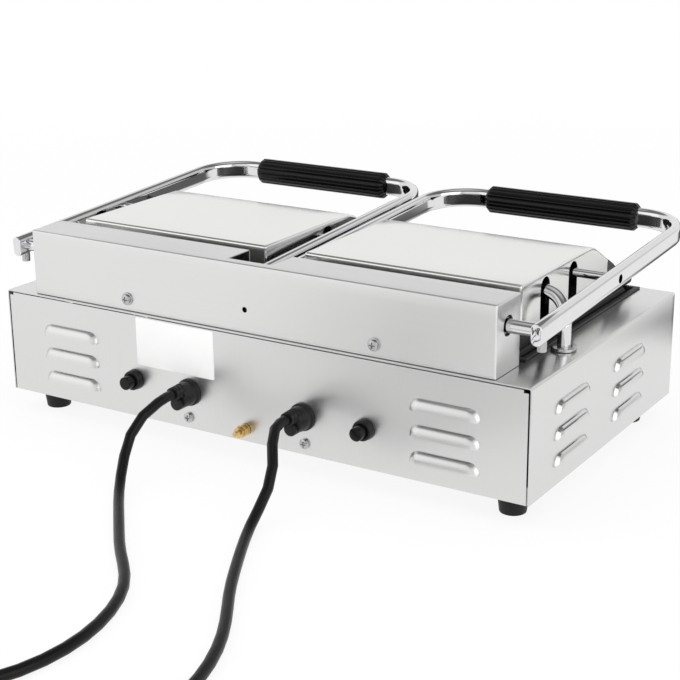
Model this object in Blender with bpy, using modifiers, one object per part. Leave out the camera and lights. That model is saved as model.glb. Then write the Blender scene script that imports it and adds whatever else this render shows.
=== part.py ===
"""Double contact grill: two ribbed lids, each hung in its own hinged handle, over a stainless base.

Metres, +Z up. The front is -Y, the back is +Y, and the feet stand on z = 0.
"""

from math import cos, pi, sin

import bmesh
import bpy
import numpy as np
from mathutils import Matrix, Vector

# Driving dimensions of the whole grill
BASE_WIDTH = 0.570
BASE_DEPTH = 0.320
BASE_HEIGHT = 0.1033
FOOT_HEIGHT = 0.022
SHEET = 0.0012
GAP = 0.0003
OVERRUN = 0.002

# Handles, hinge shafts and suspension rods
SHAFT_RADIUS = 0.006
SHAFT_INSET = 0.025
SHAFT_RISE = 0.0412
HANDLE_REACH = 0.335
BAR_RISE = 0.0175
ARM_WIDTH = 0.010
ARM_HEIGHT = 0.0195
ARM_PROUD = 0.001
ARM_TAIL = 0.012
INNER_ARM_X = 0.009
CORNER_RADIUS = 0.048
GRIP_RADIUS = 0.014
GRIP_LENGTH = 0.166
ROD_RADIUS = 0.004
ROD_REACH = 0.150

# Cast plates
SIDE_MARGIN = 0.0339
MID_MARGIN = 0.0107
FRONT_MARGIN = 0.0065
REAR_MARGIN = 0.0585
RIM_WIDTH = 0.0025
GUTTER_WIDTH = 0.008
GUTTER_DROP = 0.0063
PLATE_RISE = 0.0037
PLATE_GAP = 0.0006
CASTING_DEPTH = 0.0183
RIB_PITCH = 0.0115
RIB_HEIGHT = 0.0032
UPPER_THICKNESS = 0.0149
LIP_THICKNESS = 0.0074
LIP_INSET = 0.002

# Lid covers
LID_HEIGHT = 0.0584
SLOPE_DEPTH = 0.041
SLOPE_DROP = 0.020
NOSE_DEPTH = 0.063
NOSE_WALL = 0.006
SLOT_WIDTH = 0.0185
SLOT_TOP_DROP = 0.0038

# Box over the hinge
HINGE_BOX_SIDE_INSET = 0.0344
HINGE_BOX_REAR_INSET = 0.0035
HINGE_BOX_DEPTH = 0.0445
HINGE_BOX_HEIGHT = 0.0639
NOTCH_HALF_WIDTH = 0.024
NOTCH_DEPTH = 0.034

# Conduits from the lids to the base
CONDUIT_RADIUS = 0.006
CONDUIT_SIDE_INSET = 0.020
CONDUIT_LID_SETBACK = 0.1165
CONDUIT_BASE_SETBACK = 0.105
CONDUIT_RISE = 0.0467

# Back panel fittings
GLAND_REACH = 0.026
GLAND_X = 0.063
GLAND_RISE = 0.0365
RESET_X = 0.1275
RESET_RISE = 0.0375
PANEL_SCREW_X = 0.0647
PANEL_SCREW_RISE = 0.011
CORD_RADIUS = 0.00475

# Front controls and the grease tray
TRAY_WIDTH = 0.416
TRAY_DEPTH = 0.130
TRAY_HEIGHT = 0.022
TRAY_RISE = 0.051
KNOB_RADIUS = 0.017
KNOB_X = 0.140
KNOB_RISE = 0.030

# Fineness of round shapes
ROUND_SIDES = 24
FEW_SIDES = 16
SMALL_SIDES = 12

# Places that follow from the sizes above
TOTAL_DEPTH = GLAND_REACH + SHAFT_INSET + HANDLE_REACH + GRIP_RADIUS
REAR_Y = TOTAL_DEPTH / 2 - GLAND_REACH
FRONT_Y = REAR_Y - BASE_DEPTH
HALF_WIDTH = BASE_WIDTH / 2
BASE_TOP = FOOT_HEIGHT + BASE_HEIGHT
SHAFT_Y = REAR_Y - SHAFT_INSET
SHAFT_Z = BASE_TOP + SHAFT_RISE
BAR_Y = SHAFT_Y - HANDLE_REACH
BAR_Z = SHAFT_Z + BAR_RISE
ROD_Y = SHAFT_Y - ROD_REACH
OUTER_ARM_X = HALF_WIDTH + ARM_PROUD - ARM_WIDTH / 2
CASTING_IN_X = MID_MARGIN
CASTING_OUT_X = HALF_WIDTH - SIDE_MARGIN
CASTING_FRONT_Y = FRONT_Y + FRONT_MARGIN
CASTING_REAR_Y = REAR_Y - REAR_MARGIN
PLATE_BORDER = RIM_WIDTH + GUTTER_WIDTH
PLATE_IN_X = CASTING_IN_X + PLATE_BORDER
PLATE_OUT_X = CASTING_OUT_X - PLATE_BORDER
PLATE_FRONT_Y = CASTING_FRONT_Y + PLATE_BORDER
PLATE_REAR_Y = CASTING_REAR_Y - PLATE_BORDER
PLATE_TOP = BASE_TOP + PLATE_RISE
LID_BOTTOM = PLATE_TOP + PLATE_GAP
LID_DECK = LID_BOTTOM + UPPER_THICKNESS
LID_TOP = LID_BOTTOM + LID_HEIGHT
LIP_Y = FRONT_Y + LIP_INSET
NOSE_TOP_Y = LIP_Y + NOSE_DEPTH
NOSE_TOP_Z = LID_TOP - SLOPE_DROP
CONDUIT_X = HALF_WIDTH - CONDUIT_SIDE_INSET
CONDUIT_LID_Y = REAR_Y - CONDUIT_LID_SETBACK
CONDUIT_BASE_Y = REAR_Y - CONDUIT_BASE_SETBACK
CONDUIT_Z = BASE_TOP + CONDUIT_RISE
BOX_OUT_X = HALF_WIDTH - HINGE_BOX_SIDE_INSET
BOX_REAR_Y = REAR_Y - HINGE_BOX_REAR_INSET
BOX_FRONT_Y = BOX_REAR_Y - HINGE_BOX_DEPTH
BOX_TOP = BASE_TOP + HINGE_BOX_HEIGHT
PANEL_FRONT_Y = REAR_Y - SHEET
SIDES = {"left": -1, "right": 1}

# Looks: colour, roughness, metallic
STAINLESS = ((0.78, 0.78, 0.77), 0.28, 1.0)
CHROME = ((0.85, 0.85, 0.86), 0.08, 1.0)
STEEL = ((0.55, 0.55, 0.56), 0.35, 1.0)
CAST_IRON = ((0.05, 0.05, 0.055), 0.55, 0.3)
BLACK_PLASTIC = ((0.015, 0.015, 0.016), 0.35, 0.0)
RUBBER = ((0.02, 0.02, 0.02), 0.7, 0.0)
BRASS = ((0.75, 0.58, 0.25), 0.3, 1.0)
HEATER_STEEL = ((0.25, 0.24, 0.23), 0.45, 1.0)
AMBER = ((0.8, 0.35, 0.05), 0.2, 0.0)

AXIS_FRAMES = {
    "X": Matrix(((0, 0, 1, 0), (1, 0, 0, 0), (0, 1, 0, 0), (0, 0, 0, 1))),
    "Y": Matrix(((1, 0, 0, 0), (0, 0, -1, 0), (0, 1, 0, 0), (0, 0, 0, 1))),
    "Z": Matrix.Identity(4),
}
WELD_DISTANCE = 0.00001


def start_scene():
    """Empty the scene and make the two collections."""
    for old in list(bpy.data.objects):
        bpy.data.objects.remove(old, do_unlink=True)
    parts = bpy.data.collections.new("contact_grill")
    tools = bpy.data.collections.new("cutters")
    for collection in (parts, tools):
        bpy.context.scene.collection.children.link(collection)
    return parts, tools


PARTS, TOOLS = start_scene()


def finish_of(name, look):
    """One Principled material for one piece."""
    colour, roughness, metallic = look
    material = bpy.data.materials.new(name)
    material.use_nodes = True
    shader = material.node_tree.nodes["Principled BSDF"]
    shader.inputs["Base Color"].default_value = (*colour, 1)
    shader.inputs["Roughness"].default_value = roughness
    shader.inputs["Metallic"].default_value = metallic
    material.diffuse_color = (*colour, 1)
    return material


def pivot_at(name, place, parent=None):
    """An empty on a joint's axis, which carries the pieces that turn or slide there."""
    empty = bpy.data.objects.new(name, None)
    empty.empty_display_size = SHAFT_RADIUS
    PARTS.objects.link(empty)
    if parent:
        empty.parent = parent
        place = Vector(place) - parent.matrix_world.translation
    empty.location = place
    bpy.context.view_layer.update()
    return empty


def piece(name, mesh, look, pivot=None, smooth=False):
    """Link a mesh as one real piece of the grill."""
    mesh.name = name
    body = bpy.data.objects.new(name, mesh)
    PARTS.objects.link(body)
    body.data.materials.clear()
    body.data.materials.append(finish_of(name, look))
    if pivot:
        body.parent = pivot
        body.matrix_parent_inverse = pivot.matrix_world.inverted()
    if smooth:
        mesh.shade_smooth()
        mesh.set_sharp_from_angle(angle=pi / 5)
    return body


def tool(mesh):
    """Link a mesh as a cutter or a shape to add, hidden from the render."""
    helper = bpy.data.objects.new("tool", mesh)
    helper.display_type = "WIRE"
    helper.hide_render = True
    TOOLS.objects.link(helper)
    return helper


def combine(body, mesh, operation):
    """Put one Boolean modifier with its own tool on a piece."""
    step = body.modifiers.new(operation.lower(), "BOOLEAN")
    step.operation = operation
    step.solver = "EXACT"
    step.object = tool(mesh)


def cut(body, *meshes):
    for mesh in meshes:
        combine(body, mesh, "DIFFERENCE")


def add(body, *meshes):
    for mesh in meshes:
        combine(body, mesh, "UNION")


def tidy(mesh):
    """Weld the seams of a mesh and turn its faces outward."""
    shape = bmesh.new()
    shape.from_mesh(mesh)
    bmesh.ops.remove_doubles(shape, verts=shape.verts, dist=WELD_DISTANCE)
    bmesh.ops.recalc_face_normals(shape, faces=shape.faces)
    shape.to_mesh(mesh)
    shape.free()
    return mesh


def together(meshes):
    """Separate solids in one mesh, for a group of fasteners or a set of cutters."""
    shape = bmesh.new()
    for mesh in meshes:
        shape.from_mesh(mesh)
    joined = bpy.data.meshes.new("group")
    shape.to_mesh(joined)
    shape.free()
    return joined


def block(low, high):
    """A box between two corners."""
    low, high = Vector(low), Vector(high)
    shape = bmesh.new()
    bmesh.ops.create_cube(shape, size=1)
    size = Matrix.Diagonal((*(high - low), 1))
    bmesh.ops.transform(shape, matrix=Matrix.Translation((low + high) / 2) @ size, verts=shape.verts)
    mesh = bpy.data.meshes.new("block")
    shape.to_mesh(mesh)
    shape.free()
    return mesh


def side_block(side, near, far, y_range, z_range):
    """A box between two distances from the middle, on the left or the right."""
    first, last = sorted((side * near, side * far))
    return block((first, y_range[0], z_range[0]), (last, y_range[1], z_range[1]))


def bar(start, end, radius, sides=ROUND_SIDES, end_radius=None):
    """A round bar or cone between two points."""
    start, end = Vector(start), Vector(end)
    along = end - start
    shape = bmesh.new()
    bmesh.ops.create_cone(
        shape,
        cap_ends=True,
        segments=sides,
        radius1=radius,
        radius2=radius if end_radius is None else end_radius,
        depth=along.length,
    )
    turn = along.to_track_quat("Z", "Y").to_matrix().to_4x4()
    bmesh.ops.transform(shape, matrix=Matrix.Translation((start + end) / 2) @ turn, verts=shape.verts)
    mesh = bpy.data.meshes.new("bar")
    shape.to_mesh(mesh)
    shape.free()
    return mesh


def mesh_of(curve):
    """The welded mesh of a curve."""
    holder = bpy.data.objects.new("curve", curve)
    TOOLS.objects.link(holder)
    bpy.context.view_layer.update()
    graph = bpy.context.evaluated_depsgraph_get()
    mesh = bpy.data.meshes.new_from_object(holder.evaluated_get(graph))
    bpy.data.objects.remove(holder, do_unlink=True)
    return tidy(mesh)


def add_spline(curve, points, closed):
    spline = curve.splines.new("POLY")
    spline.points.add(len(points) - 1)
    for slot, point in zip(spline.points, points):
        slot.co = (*point, 1) if len(point) == 3 else (*point, 0, 1)
    spline.use_cyclic_u = closed


def plate(outlines, axis, low, high):
    """Flat outlines, the later ones as holes, thickened along one axis from low to high."""
    curve = bpy.data.curves.new("outline", "CURVE")
    curve.dimensions = "2D"
    curve.fill_mode = "BOTH"
    curve.extrude = (high - low) / 2
    for outline in outlines:
        add_spline(curve, outline, True)
    mesh = mesh_of(curve)
    offset = Vector([(low + high) / 2 if name == axis else 0 for name in "XYZ"])
    mesh.transform(Matrix.Translation(offset) @ AXIS_FRAMES[axis])
    return mesh


def tube(path, radius, resolution=2):
    """A round bar along a path."""
    curve = bpy.data.curves.new("tube", "CURVE")
    curve.dimensions = "3D"
    curve.bevel_depth = radius
    curve.bevel_resolution = resolution
    curve.use_fill_caps = True
    add_spline(curve, path, False)
    return mesh_of(curve)


def turned(profile, centre, axis="Z", sides=ROUND_SIDES):
    """A profile of (radius, height) turned about an axis, listed from the top down its outer side."""
    mesh = bpy.data.meshes.new("profile")
    corners = [(radius, 0, height) for radius, height in profile]
    edges = [(i, i + 1) for i in range(len(corners) - 1)]
    if profile[0][0] > 0:
        edges.append((len(corners) - 1, 0))
    mesh.from_pydata(corners, edges, [])
    holder = bpy.data.objects.new("turned", mesh)
    TOOLS.objects.link(holder)
    screw = holder.modifiers.new("screw", "SCREW")
    screw.steps = screw.render_steps = sides
    screw.use_merge_vertices = True
    screw.merge_threshold = WELD_DISTANCE
    bpy.context.view_layer.update()
    graph = bpy.context.evaluated_depsgraph_get()
    result = bpy.data.meshes.new_from_object(holder.evaluated_get(graph))
    bpy.data.objects.remove(holder, do_unlink=True)
    turns = {
        "Z": Matrix.Identity(4),
        "Y": Matrix.Rotation(-pi / 2, 4, "X"),
        "-Y": Matrix.Rotation(pi / 2, 4, "X"),
        "X": Matrix.Rotation(pi / 2, 4, "Y"),
        "-X": Matrix.Rotation(-pi / 2, 4, "Y"),
    }
    result.transform(Matrix.Translation(centre) @ turns[axis])
    return tidy(result)


def hole_radius(radius):
    """Radius of a faceted hole that clears a round piece all the way round."""
    return (radius + GAP) / cos(pi / SMALL_SIDES)


def arc(centre, radius, start, end, steps):
    """Points on an arc, both ends included, angles in radians."""
    angles = [start + (end - start) * i / steps for i in range(steps + 1)]
    return [(centre[0] + radius * cos(a), centre[1] + radius * sin(a)) for a in angles]


def stadium(width, height, centre=(0, 0), steps=4):
    """A flat oval that stands upright."""
    radius = width / 2
    straight = height / 2 - radius
    top = arc((centre[0], centre[1] + straight), radius, 0, pi, steps)
    bottom = arc((centre[0], centre[1] - straight), radius, pi, 2 * pi, steps)
    return top + bottom


def arm_height(y):
    """Height of a handle's centre line, which climbs from the hinge to the grip."""
    return SHAFT_Z + BAR_RISE * (SHAFT_Y - y) / HANDLE_REACH


ROD_Z = arm_height(ROD_Y)


# Louvres of the base

LOUVRE_LENGTH = 0.067
LOUVRE_HEIGHT = 0.011
LOUVRE_REACH = 0.005
LOUVRE_END = 0.011
LOUVRE_PITCH = 0.024
LOUVRE_TOP_DROP = 0.0273
LOUVRE_ROWS = 3
LOUVRE_SIDES = 8
LOUVRE_RINGS = 5
BACK_LOUVRE_INSET = 0.046
SIDE_LOUVRE_REAR_INSET = 0.049
SIDE_LOUVRE_STEP = 0.125


def louvre_form():
    """A capsule along local X, of which a wall shows the upper outer quarter."""
    shape = bmesh.new()
    turn = Matrix.Rotation(pi / 2, 4, "Y")
    bmesh.ops.create_uvsphere(shape, u_segments=LOUVRE_SIDES, v_segments=LOUVRE_RINGS, radius=1, matrix=turn)
    straight = LOUVRE_LENGTH / 2 - LOUVRE_END
    for corner in shape.verts:
        along = LOUVRE_END * corner.co.x + (straight if corner.co.x > 0 else -straight)
        corner.co = (along, LOUVRE_REACH * corner.co.y, LOUVRE_HEIGHT * corner.co.z)
    return shape


def keep_part(shape, point, direction):
    """Cut a closed shape by a plane and keep the side that the direction points to."""
    geometry = shape.verts[:] + shape.edges[:] + shape.faces[:]
    result = bmesh.ops.bisect_plane(
        shape, geom=geometry, plane_co=point, plane_no=direction, clear_inner=True, dist=WELD_DISTANCE
    )
    rim = [item for item in result["geom_cut"] if isinstance(item, bmesh.types.BMEdge)]
    bmesh.ops.contextual_create(shape, geom=rim)


def louvre_hood():
    """One hood, pressed out of its wall and open below."""
    shape = louvre_form()
    keep_part(shape, (0, 0, 0), (0, 0, 1))
    keep_part(shape, (0, -SHEET / 2, 0), (0, 1, 0))
    bmesh.ops.recalc_face_normals(shape, faces=shape.faces)
    mesh = bpy.data.meshes.new("louvre")
    shape.to_mesh(mesh)
    shape.free()
    return mesh


def louvre_hollow():
    """Wedge-shaped air way under a hood, through the wall."""
    half = LOUVRE_LENGTH / 2 - LOUVRE_END / 2
    outer = LOUVRE_REACH - SHEET
    inner = -SHEET - OVERRUN
    outline = [(inner, -GAP), (outer, -GAP), (outer / 2, LOUVRE_HEIGHT / 2), (inner, LOUVRE_HEIGHT / 2)]
    return plate([outline], "X", -half, half)


def louvre_heights():
    top = BASE_TOP - LOUVRE_TOP_DROP
    return [top - row * LOUVRE_PITCH - LOUVRE_HEIGHT for row in range(LOUVRE_ROWS)]


def repeated(mesh, places, turn):
    """Copies of a mesh, turned about Z and set at each place."""
    copies = []
    for place in places:
        copy = mesh.copy()
        copy.transform(Matrix.Translation(place) @ Matrix.Rotation(turn, 4, "Z"))
        copies.append(copy)
    return together(copies)


def press_louvres(wall, places, turn):
    """Rows of hoods on a wall, each open below."""
    add(wall, repeated(louvre_hood(), places, turn))
    cut(wall, repeated(louvre_hollow(), places, turn))


# Base housing

HOUSING_CORNER = 0.003
CORNER_STEPS = 3
TRAY_SLOT_CLEARANCE = 0.001
LAMP_RADIUS = 0.004
LAMP_X = 0.095
BUSHING_RADIUS = 0.0065


def bevel_edges(mesh, test, width, steps):
    """Round the edges that a test picks out."""
    shape = bmesh.new()
    shape.from_mesh(mesh)
    chosen = [edge for edge in shape.edges if test(*(corner.co for corner in edge.verts))]
    bmesh.ops.bevel(shape, geom=chosen, offset=width, segments=steps, profile=0.5, affect="EDGES")
    shape.to_mesh(mesh)
    shape.free()
    return mesh


def open_shell(mesh, drop_face):
    """Delete faces of a closed form, to leave the surface of a folded sheet."""
    shape = bmesh.new()
    shape.from_mesh(mesh)
    shape.normal_update()
    bmesh.ops.delete(shape, geom=[face for face in shape.faces if drop_face(face)], context="FACES")
    shape.to_mesh(mesh)
    shape.free()
    return mesh


def thicken(body, thickness):
    """Give a folded sheet its wall, inward from the modelled face."""
    wall = body.modifiers.new("sheet", "SOLIDIFY")
    wall.thickness = thickness
    wall.offset = -1
    wall.solidify_mode = "NON_MANIFOLD"
    wall.nonmanifold_thickness_mode = "CONSTRAINTS"


def casting_opening(side):
    """Hole in the base top that a lower plate drops into."""
    near = CASTING_IN_X + RIM_WIDTH
    far = CASTING_OUT_X - RIM_WIDTH
    y_range = (CASTING_FRONT_Y + RIM_WIDTH, CASTING_REAR_Y - RIM_WIDTH)
    return side_block(side, near, far, y_range, (BASE_TOP - SHEET - OVERRUN, BASE_TOP + OVERRUN))


def make_base_housing():
    """Top, sides and front folded from one stainless sheet."""
    form = block((-HALF_WIDTH, FRONT_Y, FOOT_HEIGHT), (HALF_WIDTH, REAR_Y, BASE_TOP))
    bevel_edges(
        form,
        lambda a, b: a.y < 0 and b.y < 0 and abs(a.z - b.z) > SHEET,
        HOUSING_CORNER,
        CORNER_STEPS,
    )
    open_shell(form, lambda face: abs(face.normal.y - 1) < SHEET or abs(face.normal.z + 1) < SHEET)
    housing = piece("base_housing", form, STAINLESS)
    thicken(housing, SHEET)
    cut(housing, *[casting_opening(side) for side in SIDES.values()])
    tray_half = TRAY_WIDTH / 2 + TRAY_SLOT_CLEARANCE
    tray_low = FOOT_HEIGHT + TRAY_RISE - TRAY_SLOT_CLEARANCE
    tray_high = tray_low + TRAY_HEIGHT + 2 * TRAY_SLOT_CLEARANCE
    cut(housing, block((-tray_half, FRONT_Y - OVERRUN, tray_low), (tray_half, FRONT_Y + OVERRUN, tray_high)))
    for side in SIDES.values():
        low = BASE_TOP - SHEET - OVERRUN
        start = (side * CONDUIT_X, CONDUIT_BASE_Y, low)
        end = (side * CONDUIT_X, CONDUIT_BASE_Y, BASE_TOP + OVERRUN)
        cut(housing, bar(start, end, BUSH_STEM_RADIUS + GAP, ROUND_SIDES))
        height = FOOT_HEIGHT + KNOB_RISE
        for x, radius in ((KNOB_X, BUSHING_RADIUS + GAP), (LAMP_X, LAMP_RADIUS + GAP)):
            start = (side * x, FRONT_Y - OVERRUN, height)
            cut(housing, bar(start, (side * x, FRONT_Y + OVERRUN, height), radius, SMALL_SIDES))
        rear = REAR_Y - SIDE_LOUVRE_REAR_INSET - LOUVRE_LENGTH / 2
        places = [
            (side * HALF_WIDTH, rear - step * SIDE_LOUVRE_STEP, z) for step in (0, 1) for z in louvre_heights()
        ]
        press_louvres(housing, places, -side * pi / 2)


# Rear panel

PANEL_SIDE_SEAM = 0.0015
PANEL_TOP_SEAM = 0.0009
NOTCH_WIDTH = 0.0045
NOTCH_HEIGHT = 0.0025
STUD_RADIUS = 0.0025
STUD_RISE = 0.012
SCREW_RADIUS = 0.002
RESET_BODY_RADIUS = 0.008
GLAND_STEM_RADIUS = 0.010


def make_rear_panel():
    """Flat panel between the sides, with louvres and holes for its fittings."""
    half = HALF_WIDTH - SHEET - PANEL_SIDE_SEAM
    low = FOOT_HEIGHT + GAP
    high = BASE_TOP - SHEET - PANEL_TOP_SEAM
    outline = [
        (-half, low),
        (half, low),
        (half, high - NOTCH_HEIGHT),
        (half - NOTCH_WIDTH, high - NOTCH_HEIGHT),
        (half - NOTCH_WIDTH, high),
        (-half + NOTCH_WIDTH, high),
        (-half + NOTCH_WIDTH, high - NOTCH_HEIGHT),
        (-half, high - NOTCH_HEIGHT),
    ]
    panel = piece("rear_panel", plate([outline], "Y", PANEL_FRONT_Y, REAR_Y), STAINLESS)
    holes = [(0, STUD_RISE, STUD_RADIUS)]
    for side in SIDES.values():
        holes.append((side * GLAND_X, GLAND_RISE, GLAND_STEM_RADIUS))
        holes.append((side * RESET_X, RESET_RISE, RESET_BODY_RADIUS))
        holes.append((side * PANEL_SCREW_X, PANEL_SCREW_RISE, SCREW_RADIUS))
    cutters = []
    for x, rise, radius in holes:
        z = FOOT_HEIGHT + rise
        start = (x, PANEL_FRONT_Y - OVERRUN, z)
        cutters.append(bar(start, (x, REAR_Y + OVERRUN, z), hole_radius(radius), SMALL_SIDES))
    cut(panel, together(cutters))
    centre = HALF_WIDTH - BACK_LOUVRE_INSET - LOUVRE_LENGTH / 2
    places = [(side * centre, REAR_Y, z) for side in SIDES.values() for z in louvre_heights()]
    press_louvres(panel, places, 0)


# Bottom plate and feet

FLANGE_HEIGHT = 0.016
VENT_LENGTH = 0.060
VENT_WIDTH = 0.005
VENT_PITCH = 0.020
VENT_COUNT = 4
VENT_X = 0.120
FOOT_TOP_RADIUS = 0.0145
FOOT_BOTTOM_RADIUS = 0.01175
FOOT_EDGE = 0.0012
FOOT_RECESS_RADIUS = 0.005
FOOT_RECESS_DEPTH = 0.014
FOOT_SIDE_INSET = 0.029
FOOT_FRONT_INSET = 0.035
FOOT_REAR_INSET = 0.031
FOOT_SCREW_RADIUS = 0.0022
RUNNER_INSET = 0.012
RUNNER_FLANGE = 0.010
RUNNER_FRONT_INSET = 0.006


def tray_runners(low):
    """Upright rails with a folded top, welded to the bottom plate, that the tray slides on."""
    top = FOOT_HEIGHT + TRAY_RISE - GAP
    start = FRONT_Y + RUNNER_FRONT_INSET
    wall = TRAY_WIDTH / 2 - RUNNER_INSET
    rails = []
    for side in SIDES.values():
        outline = [
            (wall, low),
            (wall + SHEET, low),
            (wall + SHEET, top - SHEET),
            (wall + RUNNER_FLANGE, top - SHEET),
            (wall + RUNNER_FLANGE, top),
            (wall, top),
        ]
        rails.append(plate([[(side * x, z) for x, z in outline]], "Y", start, start + TRAY_DEPTH))
    return together(rails)


def foot_places():
    x = HALF_WIDTH - FOOT_SIDE_INSET
    return {
        "foot_front_left": (-x, FRONT_Y + FOOT_FRONT_INSET),
        "foot_front_right": (x, FRONT_Y + FOOT_FRONT_INSET),
        "foot_rear_left": (-x, REAR_Y - FOOT_REAR_INSET),
        "foot_rear_right": (x, REAR_Y - FOOT_REAR_INSET),
    }


def make_bottom_plate():
    """Shallow folded tray that closes the base from below, with vent slots."""
    half = HALF_WIDTH - SHEET - GAP
    low = FOOT_HEIGHT + GAP
    y_range = (FRONT_Y + SHEET + GAP, PANEL_FRONT_Y - GAP)
    form = block((-half, y_range[0], low), (half, y_range[1], low + FLANGE_HEIGHT))
    bevel_edges(form, lambda a, b: abs(a.z - b.z) > SHEET and a.y < 0, HOUSING_CORNER, CORNER_STEPS)
    open_shell(form, lambda face: face.normal.z > 1 - SHEET)
    bottom = piece("bottom_plate", form, STEEL)
    thicken(bottom, SHEET)
    add(bottom, tray_runners(low + SHEET / 2))
    cutters = []
    middle = (FRONT_Y + REAR_Y) / 2
    for side in SIDES.values():
        for i in range(VENT_COUNT):
            y = middle + (i - (VENT_COUNT - 1) / 2) * VENT_PITCH
            first = (side * VENT_X - VENT_LENGTH / 2, y - VENT_WIDTH / 2, low - OVERRUN)
            last = (side * VENT_X + VENT_LENGTH / 2, y + VENT_WIDTH / 2, low + SHEET + OVERRUN)
            cutters.append(block(first, last))
        x = side * PANEL_SCREW_X
        z = FOOT_HEIGHT + PANEL_SCREW_RISE
        start = (x, y_range[1] - SHEET - OVERRUN, z)
        cutters.append(bar(start, (x, y_range[1] + OVERRUN, z), SCREW_RADIUS + GAP, SMALL_SIDES))
    stud_z = FOOT_HEIGHT + STUD_RISE
    start = (0, y_range[1] - SHEET - OVERRUN, stud_z)
    cutters.append(bar(start, (0, y_range[1] + OVERRUN, stud_z), STUD_NUT_RADIUS + GAP, SMALL_SIDES))
    for x, y in foot_places().values():
        start = (x, y, low - OVERRUN)
        cutters.append(bar(start, (x, y, low + SHEET + OVERRUN), FOOT_SCREW_RADIUS + GAP, SMALL_SIDES))
    cut(bottom, together(cutters))


def make_feet():
    """Tapered rubber feet with a recess for their screws."""
    profile = [
        (0, FOOT_HEIGHT),
        (FOOT_TOP_RADIUS, FOOT_HEIGHT),
        (FOOT_BOTTOM_RADIUS, FOOT_EDGE),
        (FOOT_BOTTOM_RADIUS - FOOT_EDGE, 0),
        (FOOT_RECESS_RADIUS, 0),
        (FOOT_RECESS_RADIUS, FOOT_RECESS_DEPTH),
        (0, FOOT_RECESS_DEPTH),
    ]
    for name, (x, y) in foot_places().items():
        piece(name, turned(profile, (x, y, 0), "Z", FEW_SIDES), RUBBER, smooth=True)


# Cast plates

RIM_FLANGE = 0.0018
RIB_TOP_SHARE = 0.36
RIB_ROOT_SHARE = 0.72
NOSE_SHARES = ((0, 0), (0.24, 0.27), (0.43, 0.55), (0.60, 0.81), (0.71, 0.94), (1, 1))
LUG_INSET = 0.024
LUG_THICKNESS = 0.008
LUG_DEPTH = 0.030
LUG_RADIUS = 0.0085


def rib_outline(low, high, root_z, tip_z):
    """A comb between two x values: sloping ribs from root height to tip height."""
    first, last = sorted((low, high))
    count = max(2, round((last - first) / RIB_PITCH))
    pitch = (last - first) / count
    tip = pitch * RIB_TOP_SHARE / 2
    root = pitch * RIB_ROOT_SHARE / 2
    points = []
    for i in range(count):
        centre = first + (i + 1 / 2) * pitch
        points += [(centre - root, root_z), (centre - tip, tip_z), (centre + tip, tip_z), (centre + root, root_z)]
    return points


def make_lower_plate(name, side):
    """Ribbed casting with a gutter round it, which hangs in the base top by its rim."""
    bottom = BASE_TOP - CASTING_DEPTH
    flange_low = BASE_TOP + GAP
    flange_high = flange_low + RIM_FLANGE
    gutter = BASE_TOP - GUTTER_DROP
    near = CASTING_IN_X + RIM_WIDTH + GAP
    far = CASTING_OUT_X - RIM_WIDTH - GAP
    y_range = (CASTING_FRONT_Y + RIM_WIDTH + GAP, CASTING_REAR_Y - RIM_WIDTH - GAP)
    casting = piece(name, side_block(side, near, far, y_range, (bottom, flange_high)), CAST_IRON)
    rim_y = (CASTING_FRONT_Y, CASTING_REAR_Y)
    add(casting, side_block(side, CASTING_IN_X, CASTING_OUT_X, rim_y, (flange_low, flange_high)))
    inner_near = near + RIM_WIDTH
    inner_far = far - RIM_WIDTH
    inner_y = (y_range[0] + RIM_WIDTH, y_range[1] - RIM_WIDTH)
    cut(casting, side_block(side, inner_near, inner_far, inner_y, (gutter, flange_high + OVERRUN)))
    ribs = rib_outline(side * PLATE_IN_X, side * PLATE_OUT_X, PLATE_TOP - RIB_HEIGHT, PLATE_TOP)
    floor = gutter - OVERRUN
    first, last = sorted((side * PLATE_IN_X, side * PLATE_OUT_X))
    comb = [(first, floor), (first, PLATE_TOP - RIB_HEIGHT), *ribs, (last, PLATE_TOP - RIB_HEIGHT), (last, floor)]
    add(casting, plate([comb], "Y", PLATE_FRONT_Y, PLATE_REAR_Y))
    drain_x = side * (PLATE_IN_X + PLATE_OUT_X) / 2
    drain_y = PLATE_FRONT_Y - GUTTER_WIDTH / 2
    start = (drain_x, drain_y, bottom - OVERRUN)
    cut(casting, bar(start, (drain_x, drain_y, gutter + OVERRUN), GUTTER_WIDTH / 2 - 2 * GAP, SMALL_SIDES))


def nose_line():
    """Front of a lid in side view, from the cover's edge down to the lip."""
    drop = NOSE_TOP_Z - (LID_BOTTOM + LIP_THICKNESS)
    return [(NOSE_TOP_Y - NOSE_DEPTH * run, NOSE_TOP_Z - drop * fall) for run, fall in NOSE_SHARES]


def nose_pocket():
    """Hollow of the nose in side view, open to the rear."""
    behind = NOSE_TOP_Y + OVERRUN
    inner = [(y + NOSE_WALL / 2, z - NOSE_WALL) for y, z in nose_line() if z - NOSE_WALL > LID_DECK + SHEET]
    return [(behind, LID_DECK), (behind, NOSE_TOP_Z - NOSE_WALL), *inner[1:], (inner[-1][0], LID_DECK)]


def rod_lug(side, x):
    """Cast ear that stands on the plate and hangs on the suspension rod."""
    low = LID_DECK - OVERRUN
    upright = [
        (ROD_Y - LUG_DEPTH / 2, low),
        (ROD_Y + LUG_DEPTH / 2, low),
        *arc((ROD_Y, ROD_Z), LUG_RADIUS, 0, pi, 8),
    ]
    hole = arc((ROD_Y, ROD_Z), ROD_RADIUS + GAP, 0, 2 * pi, 16)[:-1]
    middle = side * x
    return plate([upright, hole], "X", middle - LUG_THICKNESS / 2, middle + LUG_THICKNESS / 2)


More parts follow.
